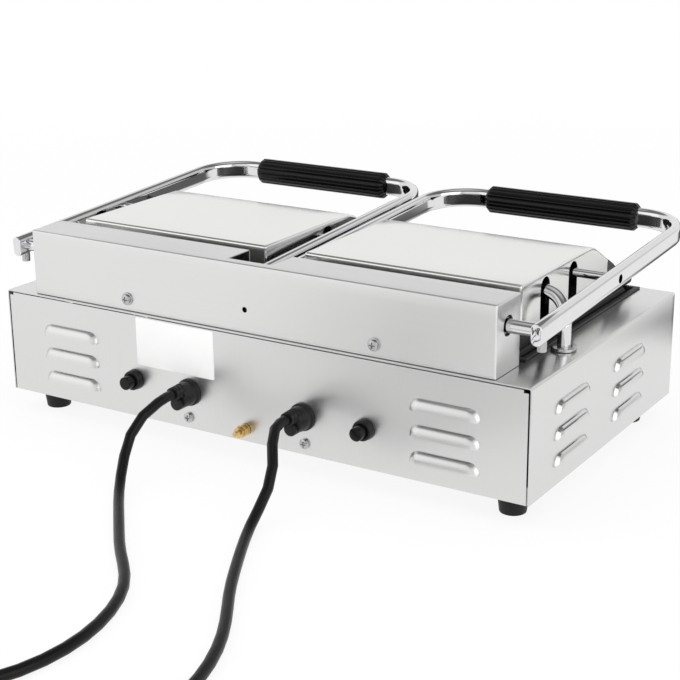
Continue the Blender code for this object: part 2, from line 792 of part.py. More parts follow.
def make_upper_plate(name, side, pivot):
    """Ribbed casting whose front curls up into the nose of the lid, with two lugs for the rod."""
    outline = [
        (PLATE_REAR_Y, LID_BOTTOM),
        (PLATE_REAR_Y, LID_DECK),
        (NOSE_TOP_Y, LID_DECK),
        *nose_line(),
        (LIP_Y, LID_BOTTOM),
    ]
    first, last = sorted((side * PLATE_IN_X, side * PLATE_OUT_X))
    casting = piece(name, plate([outline], "X", first, last), CAST_IRON, pivot)
    cut(casting, plate([nose_pocket()], "X", first + NOSE_WALL, last - NOSE_WALL))
    edge = RIB_PITCH / 2
    root = LID_BOTTOM + RIB_HEIGHT
    grooves = rib_outline(first + edge, last - edge, LID_BOTTOM - OVERRUN, root)
    comb = [(first + edge, LID_BOTTOM - OVERRUN - GAP), *grooves, (last - edge, LID_BOTTOM - OVERRUN - GAP)]
    cut(casting, plate([comb], "Y", LIP_Y + PLATE_BORDER, PLATE_REAR_Y + OVERRUN))
    add(casting, rod_lug(side, PLATE_IN_X + LUG_INSET), rod_lug(side, PLATE_OUT_X - LUG_INSET))


# Lid covers

SLOPE_SHARES = ((0, 0), (0.34, 0.235), (0.66, 0.60), (1, 1))


def lid_outline():
    """Side view of a lid cover: rear, flat top, sloping front, and the edge against the nose."""
    front = NOSE_TOP_Y + GAP
    slope = [(front + SLOPE_DEPTH * (1 - run), LID_TOP - SLOPE_DROP * fall) for run, fall in SLOPE_SHARES]
    return [(PLATE_REAR_Y, LID_DECK + GAP), (PLATE_REAR_Y, LID_TOP), *slope, (front, LID_DECK + GAP)]


def slot_cutter(side, x, y):
    """A slot with a round top, open at the cover's lower edge."""
    radius = SLOT_WIDTH / 2
    top = LID_TOP - SLOT_TOP_DROP - radius
    round_top = arc((y, top), radius, 0, pi, 8)
    outline = [*round_top, (y - radius, LID_DECK - OVERRUN), (y + radius, LID_DECK - OVERRUN)]
    first, last = sorted((side * (x - OVERRUN - SHEET), side * (x + OVERRUN + SHEET)))
    return plate([outline], "X", first, last)


def make_lid_cover(name, side, pivot):
    """Stainless cover folded over the casting, with slots for the rod and the conduit."""
    first, last = sorted((side * PLATE_IN_X, side * PLATE_OUT_X))
    form = plate([lid_outline()], "X", first, last)

    open_shell(form, lambda face: face.normal.z < SHEET - 1 or face.normal.y < SHEET - 1)
    cover = piece(name, form, STAINLESS, pivot)
    thicken(cover, SHEET)
    cut(cover, slot_cutter(side, PLATE_IN_X, ROD_Y), slot_cutter(side, PLATE_OUT_X, ROD_Y))
    cut(cover, slot_cutter(side, PLATE_OUT_X, CONDUIT_LID_Y))


# Heating elements

HEATER_RADIUS = 0.004
HEATER_RUNS = 4
HEATER_INSET_X = 0.045
HEATER_FRONT_INSET = 0.050
HEATER_REAR_INSET = 0.022
HEATER_BEND_STEPS = 4


def heater_path(side, height, bend_z):
    """A serpentine under or over a plate, whose two ends bend off at the rear."""
    low = PLATE_IN_X + HEATER_INSET_X
    step = (PLATE_OUT_X - HEATER_INSET_X - low) / (HEATER_RUNS - 1)
    radius = step / 2
    front = PLATE_FRONT_Y + HEATER_FRONT_INSET
    rear = PLATE_REAR_Y - HEATER_REAR_INSET
    path = [(side * low, rear, bend_z), (side * low, rear, height)]
    for run in range(HEATER_RUNS - 1):
        x = low + run * step
        at_front = run % 2 == 0
        y = front + radius if at_front else rear - radius
        sweep = (pi, 2 * pi) if at_front else (pi, 0)
        path += [(side * px, py, height) for px, py in arc((x + radius, y), radius, *sweep, HEATER_BEND_STEPS)]
    last = low + (HEATER_RUNS - 1) * step
    path += [(side * last, rear, height), (side * last, rear, bend_z)]
    return path


HEATER_TAIL = 0.012


def make_heater(name, side, above, pivot=None):
    if above:
        height = LID_DECK + GAP + HEATER_RADIUS
        tail = height + HEATER_TAIL
    else:
        height = BASE_TOP - CASTING_DEPTH - GAP - HEATER_RADIUS
        tail = height - HEATER_TAIL
    piece(name, tube(heater_path(side, height, tail), HEATER_RADIUS, 1), HEATER_STEEL, pivot, smooth=True)


# Box over the hinge

CHEEK_HOLE_RADIUS = 0.009
BOX_SCREW_X = 0.135
BOX_SCREW_RISE = 0.0117
SMALL_HOLE_RADIUS = 0.0026
SMALL_HOLE_RISE = 0.0217
BOX_BEND = 0.002


def make_rear_cover():
    """Folded box over the hinge, open below, with a notch where the inner arms enter."""
    form = block((-BOX_OUT_X, BOX_FRONT_Y, BASE_TOP + GAP), (BOX_OUT_X, BOX_REAR_Y, BOX_TOP))
    bevel_edges(form, lambda a, b: min(a.z, b.z) > BOX_TOP - SHEET and abs(a.x - b.x) > SHEET, BOX_BEND, 2)
    open_shell(form, lambda face: face.normal.z < -1 + SHEET)
    cover = piece("rear_cover", form, STAINLESS)
    thicken(cover, SHEET)
    notch_low = (-NOTCH_HALF_WIDTH, BOX_FRONT_Y - OVERRUN, BASE_TOP - OVERRUN)
    notch_high = (NOTCH_HALF_WIDTH, BOX_FRONT_Y + NOTCH_DEPTH, BOX_TOP + OVERRUN)
    cut(cover, block(notch_low, notch_high))
    reach = BOX_OUT_X + OVERRUN
    cut(cover, bar((-reach, SHAFT_Y, SHAFT_Z), (reach, SHAFT_Y, SHAFT_Z), CHEEK_HOLE_RADIUS, FEW_SIDES))
    holes = [(0, SMALL_HOLE_RISE, SMALL_HOLE_RADIUS)]
    holes += [(side * BOX_SCREW_X, BOX_SCREW_RISE, SCREW_RADIUS + GAP) for side in SIDES.values()]
    for x, rise, radius in holes:
        z = BASE_TOP + rise
        start = (x, BOX_REAR_Y - SHEET - OVERRUN, z)
        cut(cover, bar(start, (x, BOX_REAR_Y + OVERRUN, z), radius, SMALL_SIDES))


# Screws

SCREW_HEAD_RADIUS = 0.0048
SCREW_HEAD_HEIGHT = 0.0032
SCREW_DOME_SHARE = 0.6
WASHER_RADIUS = 0.0062
WASHER_HEIGHT = 0.001
SCREW_LENGTH = 0.010


def screw_mesh(x, face_y, z, washer):
    """A pan head screw that stands out of a rear face."""
    base = GAP + (WASHER_HEIGHT if washer else 0)
    top = base + SCREW_HEAD_HEIGHT
    profile = [
        (0, top),
        (SCREW_HEAD_RADIUS * SCREW_DOME_SHARE, top - SCREW_HEAD_HEIGHT / 5),
        (SCREW_HEAD_RADIUS, base + SCREW_HEAD_HEIGHT / 3),
        (SCREW_HEAD_RADIUS, base),
    ]
    if washer:
        profile += [(WASHER_RADIUS, base), (WASHER_RADIUS, GAP)]
    profile += [(SCREW_RADIUS, GAP), (SCREW_RADIUS, -SCREW_LENGTH), (0, -SCREW_LENGTH)]
    return turned(profile, (x, face_y, z), "Y", SMALL_SIDES)


def make_screws(name, side):
    """One screw of the box over the hinge and one of the rear panel."""
    box = screw_mesh(side * BOX_SCREW_X, BOX_REAR_Y, BASE_TOP + BOX_SCREW_RISE, True)
    piece(f"rear_cover_screw_{name}", box, CHROME, smooth=True)
    panel = screw_mesh(side * PANEL_SCREW_X, REAR_Y, FOOT_HEIGHT + PANEL_SCREW_RISE, False)
    piece(f"rear_panel_screw_{name}", panel, CHROME, smooth=True)


# Hinge brackets, bushes and balance springs

HINGE_PLATE = 0.0025
EAR_THICKNESS = 0.003
INNER_EAR_X = 0.028
OUTER_EAR_INSET = 0.0015
EAR_HALF_DEPTH = 0.014
EAR_HEAD_RADIUS = 0.013
COLLAR_RADIUS = 0.0095
COLLAR_LENGTH = 0.009
SPRING_WIRE = 0.0015
SPRING_RADIUS = 0.0082
SPRING_PITCH = 0.0035
SPRING_TURNS = 5
SPRING_STEPS = 12
SPRING_X = 0.060
SPRING_LEG = 0.014
DRIVER_GAP = 0.005
DRIVER_PLATE = 0.004
DRIVER_RADIUS = 0.0165
DRIVER_PIN_RADIUS = 0.002
DRIVER_PIN_Y = 0.011
OUTER_EAR_X = BOX_OUT_X - SHEET - OUTER_EAR_INSET - EAR_THICKNESS


def shaft_ring(radius, sides):
    """Circle about the shaft in side view."""
    return arc((SHAFT_Y, SHAFT_Z), radius, 0, 2 * pi, sides)[:-1]


def make_hinge_bracket(name, side):
    """Steel channel on the base top, with two ears and a bearing collar in each."""
    low = BASE_TOP + GAP
    y_range = (SHAFT_Y - EAR_HALF_DEPTH, SHAFT_Y + EAR_HALF_DEPTH)
    far = OUTER_EAR_X + EAR_THICKNESS
    bracket = piece(name, side_block(side, INNER_EAR_X, far, y_range, (low, low + HINGE_PLATE)), STEEL)
    head = arc((SHAFT_Y, SHAFT_Z), EAR_HEAD_RADIUS, 0, pi, 10)
    ear = [(y_range[0], low + HINGE_PLATE / 2), (y_range[1], low + HINGE_PLATE / 2), *head]
    collar = shaft_ring(COLLAR_RADIUS, FEW_SIDES)
    hole = shaft_ring(SHAFT_RADIUS + GAP, FEW_SIDES)
    for x, length in ((INNER_EAR_X, COLLAR_LENGTH), (OUTER_EAR_X + EAR_THICKNESS, -COLLAR_LENGTH)):
        flat = EAR_THICKNESS if length > 0 else -EAR_THICKNESS
        first, last = sorted((side * x, side * (x + flat)))
        add(bracket, plate([ear, hole], "X", first, last))
        first, last = sorted((side * (x + flat / 2), side * (x + length)))
        add(bracket, plate([collar, hole], "X", first, last))


def spring_path(side):
    """A foot on the bracket, the turns round the shaft, and a leg that points forward."""
    foot = BASE_TOP + GAP + HINGE_PLATE + GAP
    x = side * SPRING_X
    rear = SHAFT_Y + SPRING_RADIUS
    path = [(x, rear, foot), (x, rear, (foot + SHAFT_Z) / 2)]
    steps = SPRING_TURNS * SPRING_STEPS + SPRING_STEPS // 4
    for i in range(steps + 1):
        angle = 2 * pi * i / SPRING_STEPS
        along = side * SPRING_PITCH * i / SPRING_STEPS
        path.append((x + along, SHAFT_Y + SPRING_RADIUS * cos(angle), SHAFT_Z + SPRING_RADIUS * sin(angle)))
    end = path[-1]
    path.append((end[0], end[1] - SPRING_LEG, end[2]))
    return path


def make_spring(name, side):
    piece(name, tube(spring_path(side), SPRING_WIRE, 1), STEEL, smooth=True)


# Shafts, handles and rods

ROD_RECESS = 0.004
SET_SCREW_RADIUS = 0.004
SET_SCREW_LENGTH = 0.011
SET_SCREW_SOCKET = 0.002
SET_SCREW_SOCKET_DEPTH = 0.003
FLUTES = 14
FLUTE_DEPTH = 0.0009
GRIP_CHAMFER = 0.0035
HANDLE_BEND_STEPS = 6


def make_shaft(name, side, pivot):
    """Shaft with a drive plate fixed on it, whose pin bears on the spring's leg."""
    near = INNER_ARM_X - ARM_WIDTH / 2
    far = OUTER_ARM_X + ARM_WIDTH / 2 - GAP
    mesh = bar((side * near, SHAFT_Y, SHAFT_Z), (side * far, SHAFT_Y, SHAFT_Z), SHAFT_RADIUS, FEW_SIDES)
    shaft = piece(name, mesh, CHROME, pivot, smooth=True)
    first = spring_path(1)[-1][0] + DRIVER_GAP
    last = first + DRIVER_PLATE
    middle = (first + last) / 2
    add(shaft, bar((side * first, SHAFT_Y, SHAFT_Z), (side * last, SHAFT_Y, SHAFT_Z), DRIVER_RADIUS))
    pin_y = SHAFT_Y - DRIVER_PIN_Y
    pin_z = SHAFT_Z + SPRING_RADIUS + SPRING_WIRE + GAP + DRIVER_PIN_RADIUS
    pin_x = first - DRIVER_GAP - 2 * SPRING_WIRE
    add(shaft, bar((side * pin_x, pin_y, pin_z), (side * middle, pin_y, pin_z), DRIVER_PIN_RADIUS, SMALL_SIDES))


def make_rod(name, side, pivot):
    near = INNER_ARM_X - ARM_WIDTH / 2 + ROD_RECESS
    far = OUTER_ARM_X + ARM_WIDTH / 2 - ROD_RECESS
    mesh = bar((side * near, ROD_Y, ROD_Z), (side * far, ROD_Y, ROD_Z), ROD_RADIUS, 16)
    piece(name, mesh, CHROME, pivot, smooth=True)


def handle_path(side):
    """Plan of the bent bar: inner arm, front bar and outer arm, on the climbing line."""
    tail = SHAFT_Y + ARM_TAIL
    corner = BAR_Y + CORNER_RADIUS
    inner = arc((INNER_ARM_X + CORNER_RADIUS, corner), CORNER_RADIUS, pi, 3 * pi / 2, HANDLE_BEND_STEPS)
    outer = arc((OUTER_ARM_X - CORNER_RADIUS, corner), CORNER_RADIUS, -pi / 2, 0, HANDLE_BEND_STEPS)
    plan = [(INNER_ARM_X, tail), *inner, *outer, (OUTER_ARM_X, tail)]
    return [(side * x, y, arm_height(y)) for x, y in plan]


def swept(path, section):
    """A flat section carried along a path and kept upright."""
    outline = bpy.data.curves.new("section", "CURVE")
    outline.dimensions = "2D"
    add_spline(outline, section, True)
    guide = bpy.data.objects.new("section", outline)
    guide.hide_render = True
    TOOLS.objects.link(guide)
    curve = bpy.data.curves.new("sweep", "CURVE")
    curve.dimensions = "3D"
    curve.twist_mode = "Z_UP"
    curve.bevel_mode = "OBJECT"
    curve.bevel_object = guide
    curve.use_fill_caps = True
    add_spline(curve, path, False)
    mesh = mesh_of(curve)
    bpy.data.objects.remove(guide, do_unlink=True)
    return mesh


def make_handle_frame(name, side, pivot):
    """Flat oval bar bent to a U, bored for the shaft, the rod and the set screw."""
    mesh = swept(handle_path(side), stadium(ARM_WIDTH, ARM_HEIGHT))
    frame = piece(name, mesh, CHROME, pivot, smooth=True)
    near = side * (INNER_ARM_X - ARM_WIDTH)
    far = side * (OUTER_ARM_X + ARM_WIDTH)
    cut(frame, bar((near, SHAFT_Y, SHAFT_Z), (far, SHAFT_Y, SHAFT_Z), SHAFT_RADIUS + GAP, FEW_SIDES))
    cut(frame, bar((near, ROD_Y, ROD_Z), (far, ROD_Y, ROD_Z), ROD_RADIUS + GAP, 16))
    start = (side * OUTER_ARM_X, SHAFT_Y, SHAFT_Z - ARM_HEIGHT)
    end = (side * OUTER_ARM_X, SHAFT_Y, SHAFT_Z)
    cut(frame, bar(start, end, SET_SCREW_RADIUS + GAP, SMALL_SIDES))


def make_set_screw(name, side, pivot):
    """Socket screw that clamps the outer arm on the shaft from below."""
    top = SHAFT_Z - SHAFT_RADIUS - GAP
    bottom = top - SET_SCREW_LENGTH
    profile = [
        (0, top),
        (SET_SCREW_RADIUS, top),
        (SET_SCREW_RADIUS, bottom),
        (SET_SCREW_SOCKET, bottom),
        (SET_SCREW_SOCKET, bottom + SET_SCREW_SOCKET_DEPTH),
        (0, bottom + SET_SCREW_SOCKET_DEPTH),
    ]
    mesh = turned(profile, (side * OUTER_ARM_X, SHAFT_Y, 0), "Z", SMALL_SIDES)
    piece(name, mesh, CHROME, pivot, smooth=True)


def fluted_outline():
    """Circle with grooves, in the grip's cross-section."""
    points = []
    for i in range(3 * FLUTES):
        angle = 2 * pi * i / (3 * FLUTES)
        radius = GRIP_RADIUS - (FLUTE_DEPTH if i % 3 == 0 else 0)
        points.append((BAR_Y + radius * cos(angle), BAR_Z + radius * sin(angle)))
    return points


def make_grip(name, side, pivot):
    """Fluted sleeve on the front bar, its ends chamfered."""
    middle = side * (INNER_ARM_X + OUTER_ARM_X) / 2
    first, last = middle - GRIP_LENGTH / 2, middle + GRIP_LENGTH / 2
    hole = stadium(ARM_WIDTH + 2 * GAP, ARM_HEIGHT + 2 * GAP, (BAR_Y, BAR_Z))
    grip = piece(name, plate([fluted_outline(), hole], "X", first, last), BLACK_PLASTIC, pivot, smooth=True)
    wide = GRIP_RADIUS + OVERRUN
    ring = [
        (GRIP_RADIUS - GRIP_CHAMFER, OVERRUN),
        (wide, OVERRUN),
        (wide, -GRIP_CHAMFER - OVERRUN),
        (GRIP_RADIUS + GAP, -GRIP_CHAMFER),
        (GRIP_RADIUS - GRIP_CHAMFER, 0),
    ]
    cut(grip, turned(ring, (last, BAR_Y, BAR_Z), "X"), turned(ring, (first, BAR_Y, BAR_Z), "-X"))


# Conduits and their bushes

BUSH_STEM_RADIUS = 0.0085
BUSH_STEM_DROP = 0.006
BUSH_COLLAR_RADIUS = 0.0115
BUSH_COLLAR_HEIGHT = 0.0035
BUSH_EDGE = 0.0012
CONDUIT_IN_LID = 0.018
CONDUIT_IN_BASE = 0.025
CONDUIT_BEND_STEPS = 8


def conduit_path(side):
    """Out through the lid's side, over in a quarter bend, and down through the base top."""
    start = (PLATE_OUT_X - CONDUIT_IN_LID, CONDUIT_LID_Y, CONDUIT_Z)
    wall = (PLATE_OUT_X, CONDUIT_LID_Y, CONDUIT_Z)
    across = CONDUIT_X - PLATE_OUT_X
    path = [start, wall]
    for i in range(1, CONDUIT_BEND_STEPS + 1):
        angle = pi / 2 * i / CONDUIT_BEND_STEPS
        x = PLATE_OUT_X + across * sin(angle)
        y = CONDUIT_LID_Y + (CONDUIT_BASE_Y - CONDUIT_LID_Y) * (1 - cos(angle))
        z = CONDUIT_Z - across * (1 - cos(angle))
        path.append((x, y, z))
    path.append((CONDUIT_X, CONDUIT_BASE_Y, BASE_TOP - CONDUIT_IN_BASE))
    return [(side * x, y, z) for x, y, z in path]


def make_conduit(name, side):
    piece(name, tube(conduit_path(side), CONDUIT_RADIUS, 2), CHROME, smooth=True)


def make_conduit_bush(name, side):
    """Collar in the base top that a conduit passes through."""
    bore = CONDUIT_RADIUS + GAP
    profile = [
        (bore, BUSH_COLLAR_HEIGHT),
        (BUSH_COLLAR_RADIUS - BUSH_EDGE, BUSH_COLLAR_HEIGHT),
        (BUSH_COLLAR_RADIUS, BUSH_COLLAR_HEIGHT - BUSH_EDGE),
        (BUSH_COLLAR_RADIUS, GAP),
        (BUSH_STEM_RADIUS, GAP),
        (BUSH_STEM_RADIUS, -BUSH_STEM_DROP),
        (bore, -BUSH_STEM_DROP),
    ]
    piece(name, turned(profile, (side * CONDUIT_X, CONDUIT_BASE_Y, BASE_TOP), "Z", FEW_SIDES), CHROME, smooth=True)


# Fittings of the rear panel

RESET_COLLAR_RADIUS = 0.010
RESET_COLLAR_FRONT_RADIUS = 0.0092
RESET_COLLAR_LENGTH = 0.0065
RESET_BODY_LENGTH = 0.020
RESET_CAP_RADIUS = 0.0063
RESET_CAP_REACH = 0.0165
RESET_TRAVEL = 0.003
RESET_SEAT = 0.004
RESET_CAP_EDGE = 0.0008


def make_reset_switch(name, side):
    """Body behind the panel with a collar in front of it, bored for the cap."""
    bore = RESET_CAP_RADIUS + GAP
    seat = -RESET_SEAT - RESET_TRAVEL - GAP
    profile = [
        (0, seat),
        (bore, seat),
        (bore, GAP + RESET_COLLAR_LENGTH),
        (RESET_COLLAR_FRONT_RADIUS, GAP + RESET_COLLAR_LENGTH),
        (RESET_COLLAR_RADIUS, GAP),
        (RESET_BODY_RADIUS, GAP),
        (RESET_BODY_RADIUS, -RESET_BODY_LENGTH),
        (0, -RESET_BODY_LENGTH),
    ]
    place = (side * RESET_X, REAR_Y, FOOT_HEIGHT + RESET_RISE)
    piece(name, turned(profile, place, "Y", FEW_SIDES), BLACK_PLASTIC, smooth=True)


def make_reset_button(name, side, pivot):
    """Cap that is pressed in to reset the thermal cut-out."""
    edge = RESET_CAP_EDGE
    profile = [
        (0, RESET_CAP_REACH),
        (RESET_CAP_RADIUS - edge, RESET_CAP_REACH),
        (RESET_CAP_RADIUS, RESET_CAP_REACH - edge),
        (RESET_CAP_RADIUS, -RESET_SEAT),
        (0, -RESET_SEAT),
    ]
    place = (side * RESET_X, REAR_Y, FOOT_HEIGHT + RESET_RISE)
    piece(name, turned(profile, place, "Y", FEW_SIDES), BLACK_PLASTIC, pivot, smooth=True)


GLAND_FLANGE_RADIUS = 0.013
GLAND_FLANGE = 0.003
GLAND_BODY_RADIUS = 0.0115
GLAND_NECK_RADIUS = 0.0098
GLAND_BODY_LENGTH = 0.018
GLAND_COLLAR_RADIUS = 0.0068
GLAND_COLLAR_RAISE = 0.0055
GLAND_LOBE_RADIUS = 0.0063
GLAND_LOBE_DROP = 0.0055
GLAND_LOBE_REACH = 0.022
GLAND_NUT_RADIUS = 0.013
GLAND_NUT_LENGTH = 0.006


def make_gland(name, side):
    """Strain relief: flange, tapered body, cord collar above and clamp lobe below."""
    x = side * GLAND_X
    z = FOOT_HEIGHT + GLAND_RISE
    inside = -SHEET - GAP
    profile = [
        (0, GLAND_BODY_LENGTH),
        (GLAND_NECK_RADIUS, GLAND_BODY_LENGTH),
        (GLAND_BODY_RADIUS, GLAND_BODY_LENGTH / 2),
        (GLAND_BODY_RADIUS, GLAND_FLANGE),
        (GLAND_FLANGE_RADIUS, GLAND_FLANGE),
        (GLAND_FLANGE_RADIUS, GAP),
        (GLAND_STEM_RADIUS, GAP),
        (GLAND_STEM_RADIUS, inside),
        (GLAND_NUT_RADIUS, inside),
        (GLAND_NUT_RADIUS, inside - GLAND_NUT_LENGTH),
        (0, inside - GLAND_NUT_LENGTH),
    ]
    gland = piece(name, turned(profile, (x, REAR_Y, z), "Y", FEW_SIDES), BLACK_PLASTIC, smooth=True)
    start_y = REAR_Y + GLAND_FLANGE
    collar_z = z + GLAND_COLLAR_RAISE
    add(gland, bar((x, start_y, collar_z), (x, REAR_Y + GLAND_REACH, collar_z), GLAND_COLLAR_RADIUS, SMALL_SIDES))
    lobe_z = z - GLAND_LOBE_DROP
    add(gland, bar((x, start_y, lobe_z), (x, REAR_Y + GLAND_LOBE_REACH, lobe_z), GLAND_LOBE_RADIUS, SMALL_SIDES))


STUD_REACH = 0.018
STUD_NUT_RADIUS = 0.0052
STUD_NUT = 0.004
STUD_WASHER_RADIUS = 0.0058
STUD_WASHER = 0.001
STUD_NUT_STARTS = (0.0013, 0.0075)


def make_earth_stud():
    """Brass bonding stud with two nuts and washers."""
    z = FOOT_HEIGHT + STUD_RISE
    start = REAR_Y + GAP
    stud = bar((0, PANEL_FRONT_Y - STUD_NUT, z), (0, REAR_Y + STUD_REACH, z), STUD_RADIUS, SMALL_SIDES)
    body = piece("earth_stud", stud, BRASS, smooth=True)
    for offset in STUD_NUT_STARTS:
        nut_start = start + offset
        washer = bar((0, nut_start - STUD_WASHER, z), (0, nut_start + GAP, z), STUD_WASHER_RADIUS, SMALL_SIDES)
        nut = bar((0, nut_start, z), (0, nut_start + STUD_NUT, z), STUD_NUT_RADIUS, 6)
        add(body, washer, nut)


# Front controls

STEM_RADIUS = 0.003
STEM_REACH = 0.018
THERMOSTAT_RADIUS = 0.0125
THERMOSTAT_LENGTH = 0.030
KNOB_LENGTH = 0.020
KNOB_SKIRT = 0.005
KNOB_GRIP_RADIUS = 0.0125
KNOB_WALL_GAP = 0.0008
POINTER_WIDTH = 0.005
POINTER_RISE = 0.0025
LAMP_REACH = 0.005
LAMP_FLANGE_RADIUS = 0.0055
LAMP_BODY = 0.014


def make_thermostat(name, side):
    """Switch body behind the front, with a threaded bush and a spindle through it."""
    z = FOOT_HEIGHT + KNOB_RISE
    inside = -SHEET - GAP
    profile = [
        (0, STEM_REACH),
        (STEM_RADIUS, STEM_REACH),
        (STEM_RADIUS, 0),
        (BUSHING_RADIUS, 0),
        (BUSHING_RADIUS, inside),
        (THERMOSTAT_RADIUS, inside),
        (THERMOSTAT_RADIUS, inside - THERMOSTAT_LENGTH),
        (0, inside - THERMOSTAT_LENGTH),
    ]
    piece(name, turned(profile, (side * KNOB_X, FRONT_Y, z), "-Y", FEW_SIDES), STEEL, smooth=True)


def make_knob(name, side, pivot):
    """Turned knob with a bar grip across its face, bored for the spindle."""
    z = FOOT_HEIGHT + KNOB_RISE
    base = KNOB_WALL_GAP
    profile = [
        (0, KNOB_LENGTH),
        (KNOB_GRIP_RADIUS, KNOB_LENGTH),
        (KNOB_GRIP_RADIUS, base + KNOB_SKIRT),
        (KNOB_RADIUS, base + KNOB_SKIRT / 2),
        (KNOB_RADIUS, base),
        (STEM_RADIUS + GAP, base),
        (STEM_RADIUS + GAP, STEM_REACH + GAP),
        (0, STEM_REACH + GAP),
    ]
    x = side * KNOB_X
    mesh = turned(profile, (x, FRONT_Y, z), "-Y", FEW_SIDES)
    knob = piece(name, mesh, BLACK_PLASTIC, pivot, smooth=True)
    half = POINTER_WIDTH / 2
    face = FRONT_Y - KNOB_LENGTH
    low = (x - half, face - POINTER_RISE, z - KNOB_GRIP_RADIUS + half)
    high = (x + half, face + GAP, z + KNOB_GRIP_RADIUS - half)
    add(knob, block(low, high))


def make_lamp(name, side):
    """Indicator lamp beside a knob."""
    z = FOOT_HEIGHT + KNOB_RISE
    profile = [
        (0, LAMP_REACH),
        (LAMP_RADIUS / 2, LAMP_REACH - GAP),
        (LAMP_RADIUS, LAMP_REACH / 2),
        (LAMP_FLANGE_RADIUS, LAMP_REACH / 2 - GAP),
        (LAMP_FLANGE_RADIUS, GAP),
        (LAMP_RADIUS, GAP),
        (LAMP_RADIUS, -LAMP_BODY),
        (0, -LAMP_BODY),
    ]
    piece(name, turned(profile, (side * LAMP_X, FRONT_Y, z), "-Y", SMALL_SIDES), AMBER, smooth=True)


# Grease tray

TRAY_SHEET = 0.001
TRAY_FRONT_BORDER = 0.004
TRAY_LIP = 0.012


def make_tray(pivot):
    """Open tray with a front that covers its slot and a lip to pull."""
    half = TRAY_WIDTH / 2
    low = FOOT_HEIGHT + TRAY_RISE
    front = FRONT_Y - GAP
    form = block((-half, front, low), (half, front + TRAY_DEPTH, low + TRAY_HEIGHT))
    open_shell(form, lambda face: face.normal.z > 1 - SHEET)
    tray = piece("grease_tray", form, STAINLESS, pivot)
    thicken(tray, TRAY_SHEET)
    wide = half + TRAY_FRONT_BORDER
    panel_low = low - TRAY_FRONT_BORDER
    panel_high = low + TRAY_HEIGHT + TRAY_FRONT_BORDER
    outer = front - TRAY_SHEET
    add(tray, block((-wide, outer, panel_low), (wide, front + GAP / 2, panel_high)))
    lip_z = panel_high - TRAY_SHEET
    quarter = half / 2
    add(tray, block((-quarter, outer - TRAY_LIP, lip_z), (quarter, outer + TRAY_SHEET / 2, panel_high)))


# Mains leads

CORD_POINTS = {
    "right": [
        (0.0630, 0.2003, 0.0640),
        (0.0630, 0.2120, 0.0635),
        (0.0646, 0.2288, 0.0599),
        (0.0690, 0.2463, 0.0480),
        (0.0698, 0.2604, 0.0298),
        (0.0577, 0.2849, 0.0093),
        (0.0351, 0.3142, 0.0048),
        (0.0012, 0.3544, 0.0048),
        (-0.0251, 0.3842, 0.0048),
        (-0.0583, 0.4191, 0.0048),
        (-0.0800, 0.4560, 0.0048),
        (-0.0920, 0.5000, 0.0048),
        (-0.0910, 0.5480, 0.0048),
        (-0.0730, 0.5940, 0.0048),
        (-0.0330, 0.6290, 0.0048),
        (0.0220, 0.6400, 0.0048),
    ],
    "left": [
        (-0.0630, 0.2003, 0.0640),
        (-0.0630, 0.2120, 0.0635),
        (-0.0678, 0.2280, 0.0599),
        (-0.0788, 0.2446, 0.0488),
        (-0.0847, 0.2579, 0.0312),
        (-0.0873, 0.2859, 0.0097),
        (-0.1015, 0.3213, 0.0048),
        (-0.1235, 0.3633, 0.0048),
        (-0.1453, 0.4015, 0.0048),
        (-0.1736, 0.4468, 0.0048),
        (-0.1970, 0.5020, 0.0048),
        (-0.2070, 0.5640, 0.0048),
        (-0.2030, 0.6280, 0.0048),
        (-0.1830, 0.6880, 0.0048),
    ],
}
CORD_SPACING = 0.020
COIL_LOOPS = {"left": 4.238, "right": 4.162}
COIL_RADIUS = 0.050
COIL_STEP = 0.0101
COIL_LAYER = 0.0101
COIL_STEPS = 24
PLUG_WIDTH = 0.046
PLUG_LENGTH = 0.048
PLUG_HEIGHT = 0.020
PLUG_CORNER = 0.008
PLUG_NECK_RADIUS = 0.0075
PLUG_NECK_LENGTH = 0.012
PIN_LENGTH = 0.018
PIN_SPREAD = 0.011
PIN_BACK = 0.022
PIN_WIDE = 0.0063
PIN_THIN = 0.004
EARTH_PIN_LONG = 0.008


def smooth_curve(points, count):
    """Cubic curve through points, eased at its ends, read at even steps of its length."""
    points = np.array(points, float)
    knots = np.concatenate([[0], np.cumsum(np.linalg.norm(np.diff(points, axis=0), axis=1) ** 0.5)])
    gaps = np.diff(knots)
    size = len(points)
    system = np.zeros((size, size))
    right = np.zeros((size, 3))
    system[0, 0] = 2 * gaps[0]
    system[0, 1] = gaps[0]
    first_slope = (points[1] - points[0]) / gaps[0]
    heading = np.array([0, 1, 0]) * np.linalg.norm(first_slope)
    right[0] = 6 * (first_slope - heading)
    system[-1, -1] = 1
    for i in range(1, size - 1):
        system[i, i - 1] = gaps[i - 1]
        system[i, i] = 2 * (gaps[i - 1] + gaps[i])
        system[i, i + 1] = gaps[i]
        right[i] = 6 * ((points[i + 1] - points[i]) / gaps[i] - (points[i] - points[i - 1]) / gaps[i - 1])
    bend = np.linalg.solve(system, right)
    fine = []
    for i in range(size - 1):
        h = gaps[i]
        for t in np.linspace(0, 1, 24, endpoint=False):
            a, b = (1 - t) * h, t * h
            value = (bend[i] * a**3 + bend[i + 1] * b**3) / (6 * h)
            value = value + (points[i] / h - bend[i] * h / 6) * a
            value = value + (points[i + 1] / h - bend[i + 1] * h / 6) * b
            fine.append(value)
    fine = np.array([*fine, points[-1]])
    travel = np.concatenate([[0], np.cumsum(np.linalg.norm(np.diff(fine, axis=0), axis=1))])
    wanted = np.linspace(0, travel[-1], count)
    return np.column_stack([np.interp(wanted, travel, fine[:, k]) for k in range(3)])


def path_length(path):
    return float(np.linalg.norm(np.diff(np.array(path), axis=0), axis=1).sum())


